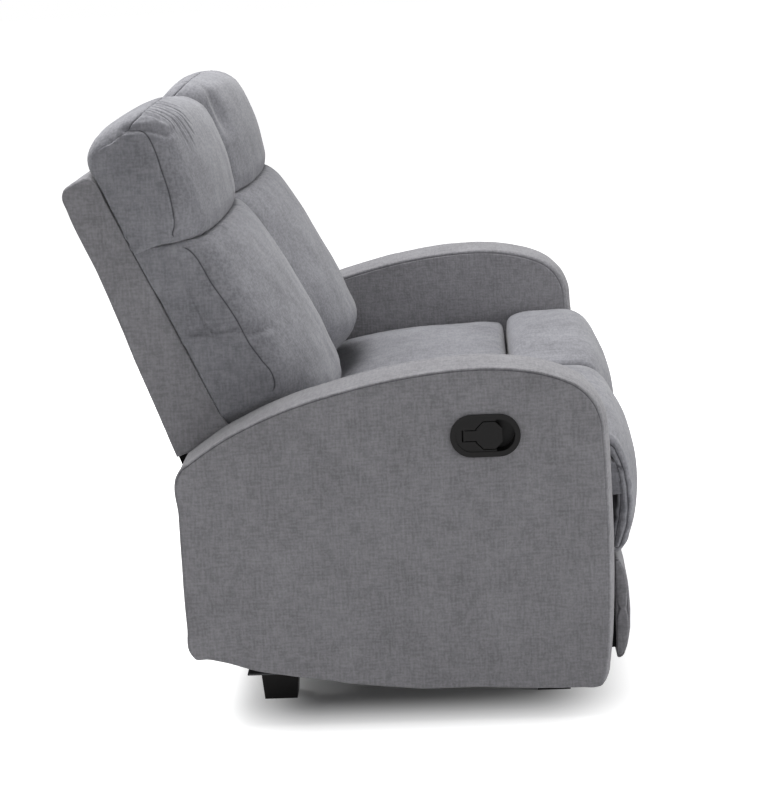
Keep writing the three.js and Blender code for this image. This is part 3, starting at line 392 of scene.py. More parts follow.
class Cushion:
    """The surface of a boxed cushion: one row of points for each place across it, round its outline."""

    def __init__(self, side, middle, seed, marks=(), long_seams=(), spine=None, bulge=3.0, seam_turn=1.3,
                 spacing=4.5):
        self.seed = seed
        lengths, self.whole = arc_lengths((side + middle)[:, :2] / 2)
        self.middle, self.lengths = middle, lengths
        self.marks = [self.place_near(mark) for mark in marks]
        positions = spread(self.whole, spacing, self.marks, closed=True)
        places = np.interp(positions, np.append(lengths, self.whole), np.arange(len(lengths) + 1))
        side, middle = sample_ring(side, places), sample_ring(middle, places)
        edge = side[:, 2]
        flat = PAD_HALF - edge.mean()
        inner = [flat - (PAD_HALF - at) for at in long_seams]
        stations = spread(2 * flat, spacing, inner + [2 * flat - mark for mark in inner]) / flat - 1
        turns = np.unique(np.round(np.concatenate([TURN_STEPS, seam_turn + SEAM_STEPS]), 4))
        turns = turns[(turns > 0) & (turns <= math.pi / 2 + 1e-4)]
        rows = [("panel", -1, share) for share in PANEL_SHARES[::-1]]
        rows += [("turn", -1, turn) for turn in turns[::-1]]
        rows += [("flat", 0, station) for station in stations]
        rows += [("turn", 1, turn) for turn in turns]
        rows += [("panel", 1, share) for share in PANEL_SHARES]
        grid, across = [], []
        for kind, hand, value in rows:
            if kind == "flat":
                width, inset = value * (PAD_HALF - edge), 0 * edge
                reach = np.abs(width)
            elif kind == "turn":
                width = hand * (PAD_HALF - edge + edge * math.sin(value))
                inset = edge * (1 - math.cos(value))
                reach = PAD_HALF - edge + edge * value
            else:
                width = hand * (PAD_HALF + bulge * (1 - (1 - min(1, 1.6 * value)) ** 2)) + 0 * edge
                inset, reach = edge, PAD_HALF - edge + edge * math.pi / 2
            swell = 1 - np.minimum(1, np.abs(width) / PAD_HALF) ** CROWN
            section = side[:, :2] + (middle[:, :2] - side[:, :2]) * swell[:, None]
            target = section.mean(axis=0) if spine is None else nearest_on(spine, section)
            inward = target - section
            distance = np.linalg.norm(inward, axis=1, keepdims=True)
            section = section + inward * np.minimum(inset[:, None] / np.maximum(distance, 0.001), 0.8)
            if kind == "panel":
                step = (target - section) * value
                reach = reach + np.linalg.norm(step, axis=1)
                section = section + step
            grid.append(np.column_stack([width, section]))
            across.append(reach)
        self.grid, self.across = np.array(grid), np.array(across)
        self.seam_at = PAD_HALF - edge + edge * seam_turn
        self.reach = (PAD_HALF - edge) / flat
        self.shape = self.across.shape
        self.place = np.repeat(positions[None, :], self.shape[0], axis=0)
        self.shift = np.zeros(self.shape)
        self.seam = np.zeros(self.shape)
        self.normal = grid_normals(self.grid)

    def place_near(self, spot):
        """How far round the outline a point of the middle outline lies."""
        return self.lengths[np.linalg.norm(self.middle[:, :2] - np.array(spot), axis=1).argmin()]

    def noise(self, size, number):
        """Smooth random values over the surface that change over about a size."""
        return lattice_noise(self.grid.reshape(-1, 3), size, self.seed * 10 + number).reshape(self.shape)

    def beyond(self, mark):
        """The way round the outline from a mark, positive onwards and negative before it."""
        return (self.place - mark + self.whole / 2) % self.whole - self.whole / 2

    def within(self, start, end, fade=8):
        """1 between two places round the outline and 0 outside them, with soft ends."""
        length = (end - start) % self.whole
        gap = np.abs(self.beyond(start + length / 2))
        return np.clip((length / 2 - gap) / fade + 0.5, 0, 1)

    def lumps(self, height):
        """The unevenness of the filling under the fabric."""
        height = height * bpy.context.scene.sofa_sizes.filling
        self.shift += height * (0.5 * self.noise(85, 2) + 0.28 * self.noise(38, 3) + 0.1 * self.noise(19, 6))

    def stitch(self, gap, inside, depth=2.4, width=3.0, pucker=1.0):
        """A seam: a groove, puckers beside it and the thread's dark line."""
        depth = depth * bpy.context.scene.sofa_sizes.seams
        self.shift += inside * groove(gap, depth, width)
        self.shift += pucker * inside * (1.3 * self.noise(13, 0) + 0.6 * self.noise(7, 1)) * np.exp(-gap / 14)
        self.seam = np.maximum(self.seam, inside * np.exp(-((gap / 1.15) ** 2)))

    def side_seams(self, start=None, end=None, **look):
        """The seams between the side panels and the rest, all round or between two places."""
        inside = np.ones(self.shape) if start is None else self.within(start, end)
        self.stitch(np.abs(self.across - self.seam_at), inside, **look)

    def cross_seam(self, mark, **look):
        """A seam across the cushion from one side panel to the other."""
        self.stitch(np.abs(self.beyond(mark)), np.clip((self.seam_at - self.across) / 5, 0, 1), **look)

    def long_seam(self, from_side, start, end, **look):
        """A seam that runs round the outline, at a distance from each side."""
        gap = np.abs(np.abs(self.grid[..., 0]) - (PAD_HALF - from_side) * self.reach)
        self.stitch(gap, self.within(start, end, 3), **look)

    def crease(self, points, hand, depth, width, ridge=0.0):
        """A fold of a side panel along a line of points, with a ridge under it."""
        gap, below = self.from_line(points)
        outer = np.clip((self.across - PAD_HALF + 60) / 40, 0, 1) * (self.grid[..., 0] * hand > 0)
        self.shift += outer * (groove(gap, depth, width) - groove(np.abs(below - 1.9 * width), ridge, width)
                               * np.exp(-((gap / (3 * width)) ** 2)))

    def from_line(self, points):
        """How far each point lies from a line drawn on the outlines, and how far below it."""
        section = self.grid[..., 1:].reshape(-1, 2)
        spots = nearest_on(points, section)
        gap = np.linalg.norm(section - spots, axis=1).reshape(self.shape)
        return gap, (spots - section)[:, 1].reshape(self.shape)

    def finish(self, name, body, nodes, kind, centre, transform=None, fill=0.8, slot="seat_fabric"):
        """The piece itself, in its place on the sofa."""
        grid = self.grid + self.normal * self.shift[..., None]
        limit = PAD_HALF + SIDE_SLACK
        grid[..., 0] = np.clip(grid[..., 0], -limit, limit) + centre
        if transform is not None:
            grid = np.concatenate([grid[..., :1], transform(grid[..., 1:])], axis=2)
        points, faces = grid.reshape(-1, 3), grid_faces(*self.shape)
        if signed_volume(points, faces) < 0:
            faces = [face[::-1] for face in faces]
        blends = isinstance(body, tuple)
        piece = new_piece(name, points, faces, body, nodes, finish(kind), self.seam.reshape(-1),
                          rides=not blends)
        return piece


# Finishes

# Edges of the frame's pieces that turn by less than this stay as they are
SHARP_FROM = math.radians(40)


def linear(hex_colour):
    """A colour written as sRGB hex, as the shader needs it."""
    channels = [int(hex_colour[start:start + 2], 16) / 255 for start in (1, 3, 5)]
    return tuple(c / 12.92 if c <= 0.04045 else ((c + 0.055) / 1.055) ** 2.4 for c in channels) + (1.0,)


def add_node(tree, kind, values=None, links=None, **settings):
    """A shader node with its settings, its socket values and what is linked to it."""
    node = tree.nodes.new(kind)
    for key, value in settings.items():
        setattr(node, key, value)
    for socket, value in (values or {}).items():
        node.inputs[socket].default_value = value
    for socket, source in (links or {}).items():
        tree.links.new(source, node.inputs[socket])
    return node


def start_material(name):
    """An empty material and its tree."""
    material = bpy.data.materials.new(name)
    material.use_nodes = True
    material.node_tree.nodes.clear()
    return material, material.node_tree


def velour(name, dark, light, thread, nap):
    """Short-pile polyester velour over a linen-like weave: soft clouds where the nap lies differently,
    fine streaks of thicker threads, and a pale bloom at grazing angles."""
    material, tree = start_material(name)
    place = add_node(tree, "ShaderNodeTexCoord").outputs["Object"]
    # Threads are about 0.6 mm apart; their slubs are drawn 4 mm wide and 24 mm long so that they show
    across, along = 1 / 0.004, 1 / 0.024
    streaks = []
    for scale in ((along, across, across), (across, along, across), (across, across, along)):
        stretched = add_node(tree, "ShaderNodeMapping", {"Scale": scale}, {"Vector": place})
        streaks.append(add_node(
            tree, "ShaderNodeTexNoise", {"Scale": 1.0, "Detail": 1.5, "Roughness": 0.55},
            {"Vector": stretched.outputs["Vector"]}).outputs["Fac"])
    pair = add_node(tree, "ShaderNodeMath", links={0: streaks[0], 1: streaks[1]}, operation="ADD")
    weave = add_node(tree, "ShaderNodeMath", links={0: pair.outputs[0], 1: streaks[2]}, operation="ADD")
    threads = add_node(
        tree, "ShaderNodeMapRange", {"From Min": 1.24, "From Max": 1.76, "To Min": 0.0, "To Max": 1.0},
        {"Value": weave.outputs[0]})
    # Clouds of nap about 90 mm wide, with smaller ones of 22 mm in them
    clouds = add_node(tree, "ShaderNodeTexNoise", {"Scale": 1 / 0.09, "Detail": 3.0, "Roughness": 0.62},
                      {"Vector": place})
    patches = add_node(tree, "ShaderNodeTexNoise", {"Scale": 1 / 0.022, "Detail": 2.0, "Roughness": 0.55},
                       {"Vector": place})
    nap_sum = add_node(tree, "ShaderNodeMath", {1: 0.55}, {0: patches.outputs["Fac"]}, operation="MULTIPLY")
    nap_mix = add_node(tree, "ShaderNodeMath", links={0: clouds.outputs["Fac"], 1: nap_sum.outputs[0]},
                       operation="ADD")
    # The sum lies about its middle; a stronger nap spreads it over more of the two colours
    middle, either_way = 0.775, 0.32 / nap
    nap_share = add_node(
        tree, "ShaderNodeMapRange", {"From Min": middle - either_way, "From Max": middle + either_way},
        {"Value": nap_mix.outputs[0]})
    blend = add_node(tree, "ShaderNodeMix", {"Factor": 0.46},
                     {2: nap_share.outputs["Result"], 3: threads.outputs["Result"]})
    colour = add_node(tree, "ShaderNodeMix", {6: dark, 7: light},
                      {0: blend.outputs[0]}, data_type="RGBA")
    seam = add_node(tree, "ShaderNodeAttribute", attribute_name="seam")
    stitched = add_node(tree, "ShaderNodeMix", {7: thread},
                        {0: seam.outputs["Fac"], 6: colour.outputs[2]}, data_type="RGBA")
    bump = add_node(tree, "ShaderNodeBump", {"Strength": 0.5, "Distance": 0.0006},
                    {"Height": weave.outputs[0]})
    surface = add_node(
        tree, "ShaderNodeBsdfPrincipled",
        {"Roughness": 0.88, "Specular IOR Level": 0.2, "Sheen Weight": 0.22, "Sheen Roughness": 0.4},
        {"Base Color": stitched.outputs[2], "Normal": bump.outputs["Normal"]})
    add_node(tree, "ShaderNodeOutputMaterial", links={"Surface": surface.outputs["BSDF"]})
    return material


def moulded_abs(name, colour, roughness):
    """ABS moulded in a lightly sparked tool: black, satin, with a very fine even grain."""
    material, tree = start_material(name)
    place = add_node(tree, "ShaderNodeTexCoord").outputs["Object"]
    # The spark grain is about 0.3 mm; it is drawn at 0.8 mm
    grain = add_node(tree, "ShaderNodeTexNoise", {"Scale": 1 / 0.0008, "Detail": 2.0}, {"Vector": place})
    bump = add_node(tree, "ShaderNodeBump", {"Strength": 0.15, "Distance": 0.0002},
                    {"Height": grain.outputs["Fac"]})
    shade = add_node(tree, "ShaderNodeMapRange", {"To Min": roughness - 0.06, "To Max": roughness + 0.06},
                     {"Value": grain.outputs["Fac"]})
    surface = add_node(tree, "ShaderNodeBsdfPrincipled",
                       {"Base Color": colour, "IOR": 1.54, "Specular IOR Level": 0.12},
                       {"Roughness": shade.outputs["Result"], "Normal": bump.outputs["Normal"]})
    add_node(tree, "ShaderNodeOutputMaterial", links={"Surface": surface.outputs["BSDF"]})
    return material


def painted_steel(name, colour):
    """Pressed steel under black dipped paint: a slight orange peel and duller patches."""
    material, tree = start_material(name)
    place = add_node(tree, "ShaderNodeTexCoord").outputs["Object"]
    # Orange peel of paint is about 1.5 mm wide
    peel = add_node(tree, "ShaderNodeTexNoise", {"Scale": 1 / 0.0015, "Detail": 1.0}, {"Vector": place})
    patches = add_node(tree, "ShaderNodeTexNoise", {"Scale": 1 / 0.04, "Detail": 3.0}, {"Vector": place})
    bump = add_node(tree, "ShaderNodeBump", {"Strength": 0.12, "Distance": 0.0002},
                    {"Height": peel.outputs["Fac"]})
    shade = add_node(tree, "ShaderNodeMapRange", {"To Min": 0.36, "To Max": 0.56},
                     {"Value": patches.outputs["Fac"]})
    surface = add_node(tree, "ShaderNodeBsdfPrincipled", {"Base Color": colour, "IOR": 1.5},
                       {"Roughness": shade.outputs["Result"], "Normal": bump.outputs["Normal"]})
    add_node(tree, "ShaderNodeOutputMaterial", links={"Surface": surface.outputs["BSDF"]})
    return material


def drawn_wire(name, colour):
    """Hard-drawn spring steel: grey metal with dull and bright stretches along the wire."""
    material, tree = start_material(name)
    place = add_node(tree, "ShaderNodeTexCoord").outputs["Object"]
    # Drawing marks vary over about 12 mm
    marks = add_node(tree, "ShaderNodeTexNoise", {"Scale": 1 / 0.012, "Detail": 2.0}, {"Vector": place})
    shade = add_node(tree, "ShaderNodeMapRange", {"To Min": 0.3, "To Max": 0.5},
                     {"Value": marks.outputs["Fac"]})
    surface = add_node(tree, "ShaderNodeBsdfPrincipled", {"Base Color": colour, "Metallic": 1.0},
                       {"Roughness": shade.outputs["Result"]})
    add_node(tree, "ShaderNodeOutputMaterial", links={"Surface": surface.outputs["BSDF"]})
    return material


def sawn_wood(name, dark, light):
    """Planed softwood and plywood: long grain streaks, open and dry."""
    material, tree = start_material(name)
    place = add_node(tree, "ShaderNodeTexCoord").outputs["Object"]
    # Growth rings about 5 mm apart run 200 mm along the board
    stretched = add_node(tree, "ShaderNodeMapping", {"Scale": (1 / 0.2, 1 / 0.005, 1 / 0.005)},
                         {"Vector": place})
    rings = add_node(tree, "ShaderNodeTexNoise", {"Scale": 1.0, "Detail": 4.0, "Roughness": 0.6},
                     {"Vector": stretched.outputs["Vector"]})
    ramp = add_node(tree, "ShaderNodeMapRange", {"From Min": 0.35, "From Max": 0.65},
                    {"Value": rings.outputs["Fac"]})
    colour = add_node(tree, "ShaderNodeMix", {6: dark, 7: light},
                      {0: ramp.outputs["Result"]}, data_type="RGBA")
    bump = add_node(tree, "ShaderNodeBump", {"Strength": 0.2, "Distance": 0.0003},
                    {"Height": rings.outputs["Fac"]})
    surface = add_node(tree, "ShaderNodeBsdfPrincipled", {"Roughness": 0.75, "Specular IOR Level": 0.3},
                       {"Base Color": colour.outputs[2], "Normal": bump.outputs["Normal"]})
    add_node(tree, "ShaderNodeOutputMaterial", links={"Surface": surface.outputs["BSDF"]})
    return material


def bonded_felt(name, dark, light):
    """Spun-bonded polypropylene lining: black cloth with pale specks of crossed fibres."""
    material, tree = start_material(name)
    place = add_node(tree, "ShaderNodeTexCoord").outputs["Object"]
    # Fibre specks are about 2 mm
    specks = add_node(tree, "ShaderNodeTexNoise", {"Scale": 1 / 0.002, "Detail": 3.0, "Roughness": 0.7},
                      {"Vector": place})
    ramp = add_node(tree, "ShaderNodeMapRange", {"From Min": 0.45, "From Max": 0.75},
                    {"Value": specks.outputs["Fac"]})
    colour = add_node(tree, "ShaderNodeMix", {6: dark, 7: light},
                      {0: ramp.outputs["Result"]}, data_type="RGBA")
    surface = add_node(tree, "ShaderNodeBsdfPrincipled", {"Roughness": 0.9, "Specular IOR Level": 0.2},
                       {"Base Color": colour.outputs[2]})
    add_node(tree, "ShaderNodeOutputMaterial", links={"Surface": surface.outputs["BSDF"]})
    return material


# What each kind of surface is: the material's name, what makes it, its colours and how it is set
FINISHES = {
    "body": ("grey velour, body", velour, ("body_dark", "body_light", "thread"), {"nap": 0.8}),
    "seat": ("grey velour, cushions", velour, ("seat_dark", "seat_light", "thread"), {"nap": 1.2}),
    "plastic": ("black moulded ABS", moulded_abs, ("plastic",), {"roughness": 0.36}),
    "steel": ("black painted steel", painted_steel, ("steel",), {}),
    "wire": ("drawn spring steel", drawn_wire, ("wire",), {}),
    "wood": ("planed softwood", sawn_wood, ("wood_dark", "wood_light"), {}),
    "lining": ("black bonded lining", bonded_felt, ("lining_dark", "lining_light"), {}),
}


def finish(kind):
    """A material of the sofa in the colours that the user has set, made once and then shared."""
    name, make, tones, settings = FINISHES[kind]
    chosen = bpy.context.scene.sofa_colours
    return bpy.data.materials.get(name) or make(name, *(getattr(chosen, tone) for tone in tones), **settings)


def round_edges(piece, radius):
    """Softens the sharp edges of a moulded, pressed or planed piece."""
    edges = piece.modifiers.new("edges", "BEVEL")
    edges.width = radius
    edges.segments = 2
    edges.limit_method = "ANGLE"
    return edges


def dress(parts, kind, radius=0.0):
    """Gives these parts of the frame, right and left, their finish and softer edges."""
    for part in parts:
        for label, _ in SIDES:
            dress_node(f"{part}_{label}", kind, radius)


def dress_node(node_name, kind, radius=0.0):
    """Gives one piece of the frame its finish and softer edges."""
    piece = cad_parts[node_name]
    piece.data.materials.clear()
    piece.data.materials.append(finish(kind))
    if radius > 0:
        round_edges(piece, radius).angle_limit = SHARP_FROM


# Arms


def resample(ring, count):
    """The same closed outline with evenly spaced points."""
    lengths, whole = arc_lengths(ring)
    places = np.interp(np.linspace(0, whole, count, endpoint=False), np.append(lengths, whole),
                       np.arange(len(ring) + 1))
    return sample_ring(ring, places)


def outward(ring):
    """Outward direction at each point of a closed outline."""
    run = np.roll(ring, -1, axis=0) - np.roll(ring, 1, axis=0)
    run /= np.linalg.norm(run, axis=1, keepdims=True)
    normal = np.column_stack([run[:, 1], -run[:, 0]])
    if (normal * (ring - ring.mean(axis=0))).sum() < 0:
        normal = -normal
    return normal


def arm_grid(hand):
    """The grid of an arm cover: inner panel, band and outer panel with the handle's hole.

    With each row comes its distance from the seam at the edge of the band, negative on the band.
    """
    outline = [(*spot, 0, spot == ARM_CORNER) for spot in ARM]
    ring = resample(closed_curve(outline)[:, :2], ARM_COLUMNS)
    out = outward(ring)
    # The lower hem runs in slight waves
    hem = np.clip((-out[:, 1] - 0.6) / 0.3, 0, 1)
    wave = lattice_noise(np.column_stack([ring, np.full(ARM_COLUMNS, hand * 500.0)]), 55, 7)
    ring = ring + out * (1.6 * wave * hem)[:, None]
    middle, handle = np.array(ARM_MIDDLE), np.array(HANDLE_CENTRE, float)
    angle = np.arctan2(ring[:, 1] - handle[1], ring[:, 0] - handle[0])
    hole = oval_point(angle, *ARM_HOLE) + handle
    rows = []
    for end, edge in ARM_EDGES.items():
        start = ring - out * edge
        if end < 0:
            shares = np.concatenate([np.linspace(0.03, 0.9, 26), 1 - EDGE_SHARES])
            sections = [middle + (start - middle) * share for share in shares]
        else:
            shares = np.concatenate([np.linspace(1, 0.1, 30), EDGE_SHARES])
            sections = [start + (hole - start) * share for share in shares]
        side = [(end * ARM_HALF, section, edge * SEWN_SHARE + np.linalg.norm(section - start, axis=1))
                for section in sections]
        for turn in np.linspace(0, math.pi / 2, 8):
            side.append((end * (ARM_HALF - edge + edge * math.cos(turn)),
                         ring - out * (edge - edge * math.sin(turn)),
                         np.full(ARM_COLUMNS, edge * (SEWN_SHARE - turn))))
        rows += side if end < 0 else side[::-1]
        if end < 0:
            # The middle of the band only has to be further from the seams than its edges
            for width in BAND_ROWS:
                from_seam = -ARM_EDGES[1] - (ARM_HALF - edge - abs(width)) * (abs(width) < 50)
                rows.append((width, ring, np.full(ARM_COLUMNS, from_seam)))
    # The band is crowned, most of all down the front
    front = np.maximum(0, -out[:, 0]) ** 2
    upper = np.maximum(0, out[:, 1]) ** 2
    grid = []
    for width, section, _ in rows:
        swell = 1 - min(1, abs(width) / ARM_HALF) ** CROWN
        grid.append(np.column_stack([np.full(ARM_COLUMNS, hand * width),
                                     section + out * (swell * (11 * front + 1.5 * upper))[:, None]]))
    return np.array(grid), np.array([gap for _, _, gap in rows]), out


def oval_point(angle, length, height):
    """The point of an oval with straight sides, seen from its middle at an angle."""
    radius = height / 2
    reach = (length - height) / 2
    cosine, sine = np.cos(angle), np.sin(angle)
    flat = radius / np.maximum(np.abs(sine), 1e-6)
    along = flat * np.abs(cosine)
    inner = reach * np.abs(cosine)
    round_end = inner + np.sqrt(np.maximum(0, radius**2 - (reach * np.abs(sine)) ** 2))
    distance = np.where(along <= reach, flat, round_end)
    return np.column_stack([distance * cosine, distance * sine])


def make_arm(label, side):
    """One arm cover with its band, edge seams and the slight slack of glued fabric."""
    grid, gaps, out = arm_grid(side)
    rows, columns = grid.shape[:2]
    points, normal, near = grid.reshape(-1, 3), grid_normals(grid), np.abs(gaps)

    def noise(size, number):
        return lattice_noise(points, size, 40 + side + number).reshape(rows, columns)

    # The seams are deep over the top, fade down the front and show a little at the rear
    depth, up = out[:, 0], out[:, 1]
    front = np.clip(0.35 - depth, 0, 1) * np.clip(0.4 + up * 2, 0, 1)
    rear = 0.25 * np.clip(depth - 0.8, 0, 0.2) * 5
    sewn = np.clip(np.maximum(front + rear, np.clip(up * 2, 0, 1)), 0, 1)[None, :]
    ripple = noise(22, 1)
    shift = sewn * (groove(near, 1.5, 1.6) + 0.8 * np.exp(-(((gaps + 5) / 3.5) ** 2)))
    puckers = sewn * (0.45 * ripple + 0.25 * noise(9, 3)) * np.exp(-near / 9)
    shift += 0.6 * noise(60, 0) + 0.2 * ripple + puckers
    # The fabric is a little slacker near the hem
    shift += (1 - np.clip((grid[..., 2] - 60) / 80, 0, 1)) * 1.0 * noise(45, 2)
    seam = 0.8 * sewn * np.exp(-((gaps / 0.95) ** 2))
    grid = grid + normal * shift[..., None]
    limit = ARM_HALF + 1.2
    grid[..., 0] = np.clip(grid[..., 0], -limit, limit) + side * ARM_CENTRE
    # A last row turns the fabric in behind the handle's plate
    lip = grid[-1].copy()
    lip[:, 0] -= side * ARM_LIP
    points = np.concatenate([grid, lip[None]]).reshape(-1, 3)
    seam = np.concatenate([seam, np.zeros((1, columns))])
    faces = grid_faces(rows + 1, columns)[:-1]
    if signed_volume(points, faces) < 0:
        faces = [face[::-1] for face in faces]
    return new_piece(f"arm_upholstery_{label}", points, faces, "base", [f"arm_cover_{label}"],
                     finish("body"), seam.reshape(-1))


# Back


def make_shell(label, side):
    """The padded outer shell of a back: boards wrapped in fabric, with softly rounded edges."""
    ring = closed_curve(SHELL)
    shell = Cushion(ring, ring.copy(), 60 + side, bulge=0.4, seam_turn=1.2, spacing=6)
    shell.shift += 0.7 * shell.noise(90, 0) + 0.25 * shell.noise(30, 1) - 0.5
    face = np.clip((-shell.grid[..., 1] - shell_face(shell.grid[..., 2]) + 8) / 8, 0, 1)
    shell.shift *= 1 - face
    shell.stitch(np.abs(shell.across - shell.seam_at), 0.5 * (1 - face), depth=0.6, width=2.0, pucker=0.4)
    shell.seam *= 0.5
    return shell.finish(f"back_upholstery_{label}", f"back_{label}",
                        [f"back_shell_{label}", f"back_frame_{label}"], "body", side * SEAT_CENTRE, leaning,
                        fill=1.0, slot="body_fabric")


def fuller(outline, forward, up=0.0):
    """An outline whose front stands further forward and whose top stands higher."""
    return [(depth - forward * min(1, max(0, (-depth - 120) / 60)),
             level + up * min(1, max(0, (level - 400) / 100)), *rest) for depth, level, *rest in outline]


# Folds of a headrest's front below its top seam: place across, length and slant
HEAD_FOLDS = (
    (264, 50, 0.05), (243, 85, 0.1), (220, 112, 0.14), (194, 118, 0.17), (165, 100, 0.2), (134, 80, 0.22),
    (98, 50, 0.2),
)
# Lines drawn on the outlines: the fold over a headrest's outer corner and the pocket of the further one
HEAD_CORNER = ((-141, 556), (-160, 550), (-182, 541), (-204, 523))
HEAD_POCKET = ((-205, 520), (-225, 478))
# Creases of a back cushion's outer side: line, depth, width and the ridge under it
CUSHION_CREASES = (
    (((-108, 196), (-143, 184), (-169, 178), (-187, 176), (-205, 160), (-236, 149)), 6.5, 7.5, 3.2),
    (((-120, 330), (-150, 318)), 1.5, 6, 0.8),
    (((-120, 100), (-165, 112), (-210, 104)), 1.8, 8, 1.0),
)
# How far in from each side the long seams of a headrest lie
HEAD_SEAM_IN = 45


def make_headrest(label, side):
    """A full headrest: side panels that run over its corners, a seam across the top and folds below it."""
    # The one further from the camera is a little fuller and higher
    more, taller = (9, 3) if side > 0 else (0, 0)
    outline = closed_curve(fuller(HEADREST_SIDE, 0, taller))
    middle = closed_curve(fuller(HEADREST_MIDDLE, more, taller))
    head = Cushion(outline, middle, 11 + side, marks=[(-178 - more, 576 + taller)],
                   long_seams=(HEAD_SEAM_IN,), spine=HEADREST_SPINE, spacing=3.3)
    top = head.marks[0]
    low, behind = head.place_near((-192, 337)), head.place_near((-30, 520))
    x, up = head.grid[..., 0].copy(), head.grid[..., 2].copy()
    outer = x * side
    # The filling has settled away from one end, and towards the front on the seat further away
    head.grid[..., 2] -= 18 * np.clip((up - 420) / 130, 0, 1) * np.clip((x + 20) / 270, 0, 1) ** 1.2
    if side > 0:
        behind_top = np.clip((head.grid[..., 1] + 150) / 50, 0, 1)
        head.grid[..., 2] -= 16 * np.clip((up - 500) / 50, 0, 1) * behind_top
    head.lumps(2.0)
    head.side_seams(top + 26, low, depth=1.5, width=2.4, pucker=0.7)
    head.cross_seam(top, depth=2.0, width=2.4, pucker=0.8)
    head.long_seam(HEAD_SEAM_IN, behind, top, depth=1.4, width=2.2, pucker=0.5)
    # Fine gathers start at the top seam, strongest towards the sides
    down = head.beyond(top)
    fade = np.clip(down / 14, 0, 1) * np.exp(-np.maximum(0, down - 50) / 30) * (down > 0)
    strength = np.clip((np.abs(x) - 40) / 150, 0.3, 1) * np.clip((286 - np.abs(x)) / 16, 0, 1)
    if side > 0:
        strength = strength * np.clip((x + 60) / 120, 0.15, 1)
    drift = np.column_stack([x.reshape(-1), np.zeros(x.size), 0.4 * down.reshape(-1)])
    sway = lattice_noise(drift, 60, head.seed + 7).reshape(head.shape)
    level = 0.75 + 0.6 * lattice_noise(drift, 34, head.seed + 9).reshape(head.shape)
    folds = np.abs(np.sin(x / 8.0 + 1.7 * sway)) ** 0.75 - 0.62
    head.shift += 2.2 * fade * strength * folds * level
    # Longer folds run down from it at the outer end
    for start, length, slant in HEAD_FOLDS:
        gap = np.abs(outer - (start - slant * down + 4 * sway))
        reach = np.clip(down / 5, 0, 1) * np.clip((length - down) / (0.45 * length), 0, 1) * (down > 0)
        head.shift += reach * (groove(gap, 4.2, 3.4) - groove(np.abs(gap - 7), 1.4, 4))
    # Gathers at the lower edge, and small ones along the side seams
    gathers = np.abs(np.sin(x / 10.5 + 2.2 * sway)) ** 0.8 - 0.6
    from_edge = np.abs(head.beyond(low) + 6)
    head.shift += 1.8 * gathers * np.exp(-from_edge / 24) * (head.across < head.seam_at - 8)
    near_seam = np.exp(-np.maximum(0, head.seam_at - head.across) / 20) * (head.across < head.seam_at)
    head.shift += 1.3 * np.sin(up / 4.4 + 2 * head.noise(30, 8)) * near_seam * np.clip((420 - up) / 25, 0, 1)
    gap, _ = head.from_line(HEAD_CORNER)
    fold = groove(gap, 4.6, 4.5) - groove(np.abs(gap - 11), 1.8, 5.5)
    head.shift += np.clip((outer - 222) / 25, 0, 1) * fold
    if side > 0:
        gap, _ = head.from_line(HEAD_POCKET)
        head.shift += -11 * np.exp(-((gap / 24) ** 2)) * np.exp(-(((x + 232) / 24) ** 2))
    return head.finish(f"head_pillow_{label}", f"back_{label}", [f"headrest_{label}"], "seat",
                       side * SEAT_CENTRE, leaning)


def make_back_cushion(label, side):
    """The cushion of a back: a thin seam before each soft side, a dent across it, tucked in below."""
    more = 4 if side > 0 else 0
    cushion = Cushion(closed_curve(CUSHION_SIDE), closed_curve(fuller(CUSHION_MIDDLE, more)), 21 + side,
                      spine=CUSHION_SPINE)
    x, up = cushion.grid[..., 0], cushion.grid[..., 2]
    top, low = cushion.place_near((-206, 350)), cushion.place_near((-280, -35))
    cushion.lumps(3.0)
    cushion.side_seams(top, low, depth=1.0, width=2.2, pucker=0.6)
    for line, depth, width, ridge in CUSHION_CREASES:
        cushion.crease(line, side, depth, width, ridge)
    # Gathers hang below the seam under the headrest, and the lower edge is slack
    gathers = 1.7 * np.abs(np.sin(x / 11 + 2.0 * cushion.noise(70, 7))) ** 0.8 - 0.9
    from_seam = np.abs(cushion.beyond(top) - 8)
    cushion.shift += gathers * np.exp(-from_seam / 22) * (cushion.across < cushion.seam_at)
    cushion.shift += 1.2 * np.clip((60 - up) / 60, 0, 1) * np.sin(x / 17 + 3 * cushion.noise(90, 8))
    return cushion.finish(f"back_pillow_{label}", f"back_{label}", [f"back_cushion_{label}"], "seat",
                          side * SEAT_CENTRE, leaning)


def make_lining(label, side):
    """The black cloth stapled under the shell to close the back."""
    columns = LINING_COLUMNS + 1
    points = np.array([(-LINING_HALF + 2 * LINING_HALF * column / LINING_COLUMNS, -1.5,
                        -0.3 - (LINING_DROP - 0.3) * row / LINING_ROWS)
                       for row in range(LINING_ROWS + 1) for column in range(columns)])
    # It sags a little where nothing holds it
    sag = (np.sin(np.pi * (points[:, 0] + LINING_HALF) / (2 * LINING_HALF))
           * np.sin(np.pi * -points[:, 2] / LINING_DROP))
    points[:, 1] += 1.2 * sag
    points = np.column_stack([points[:, 0] + side * SEAT_CENTRE, leaning(points[:, 1:])])
    firsts = [row * columns + column for row in range(LINING_ROWS) for column in range(LINING_COLUMNS)]
    faces = [(first, first + 1, first + columns + 1, first + columns) for first in firsts]
    piece = new_piece(f"lining_cloth_{label}", points, faces, f"back_{label}", [f"back_lining_{label}"],
                      finish("lining"))
    cloth = piece.modifiers.new("cloth", "SOLIDIFY")
    cloth.thickness = bpy.context.scene.sofa_sizes.lining
    cloth.offset = 0
    return piece


# Seats


def lower_crown(outline, drop, start, fade):
    """Takes the top of an outline down by a drop that sets in above a level."""
    outline[:, 1] -= drop * np.clip((outline[:, 1] - start) / fade, 0, 1)


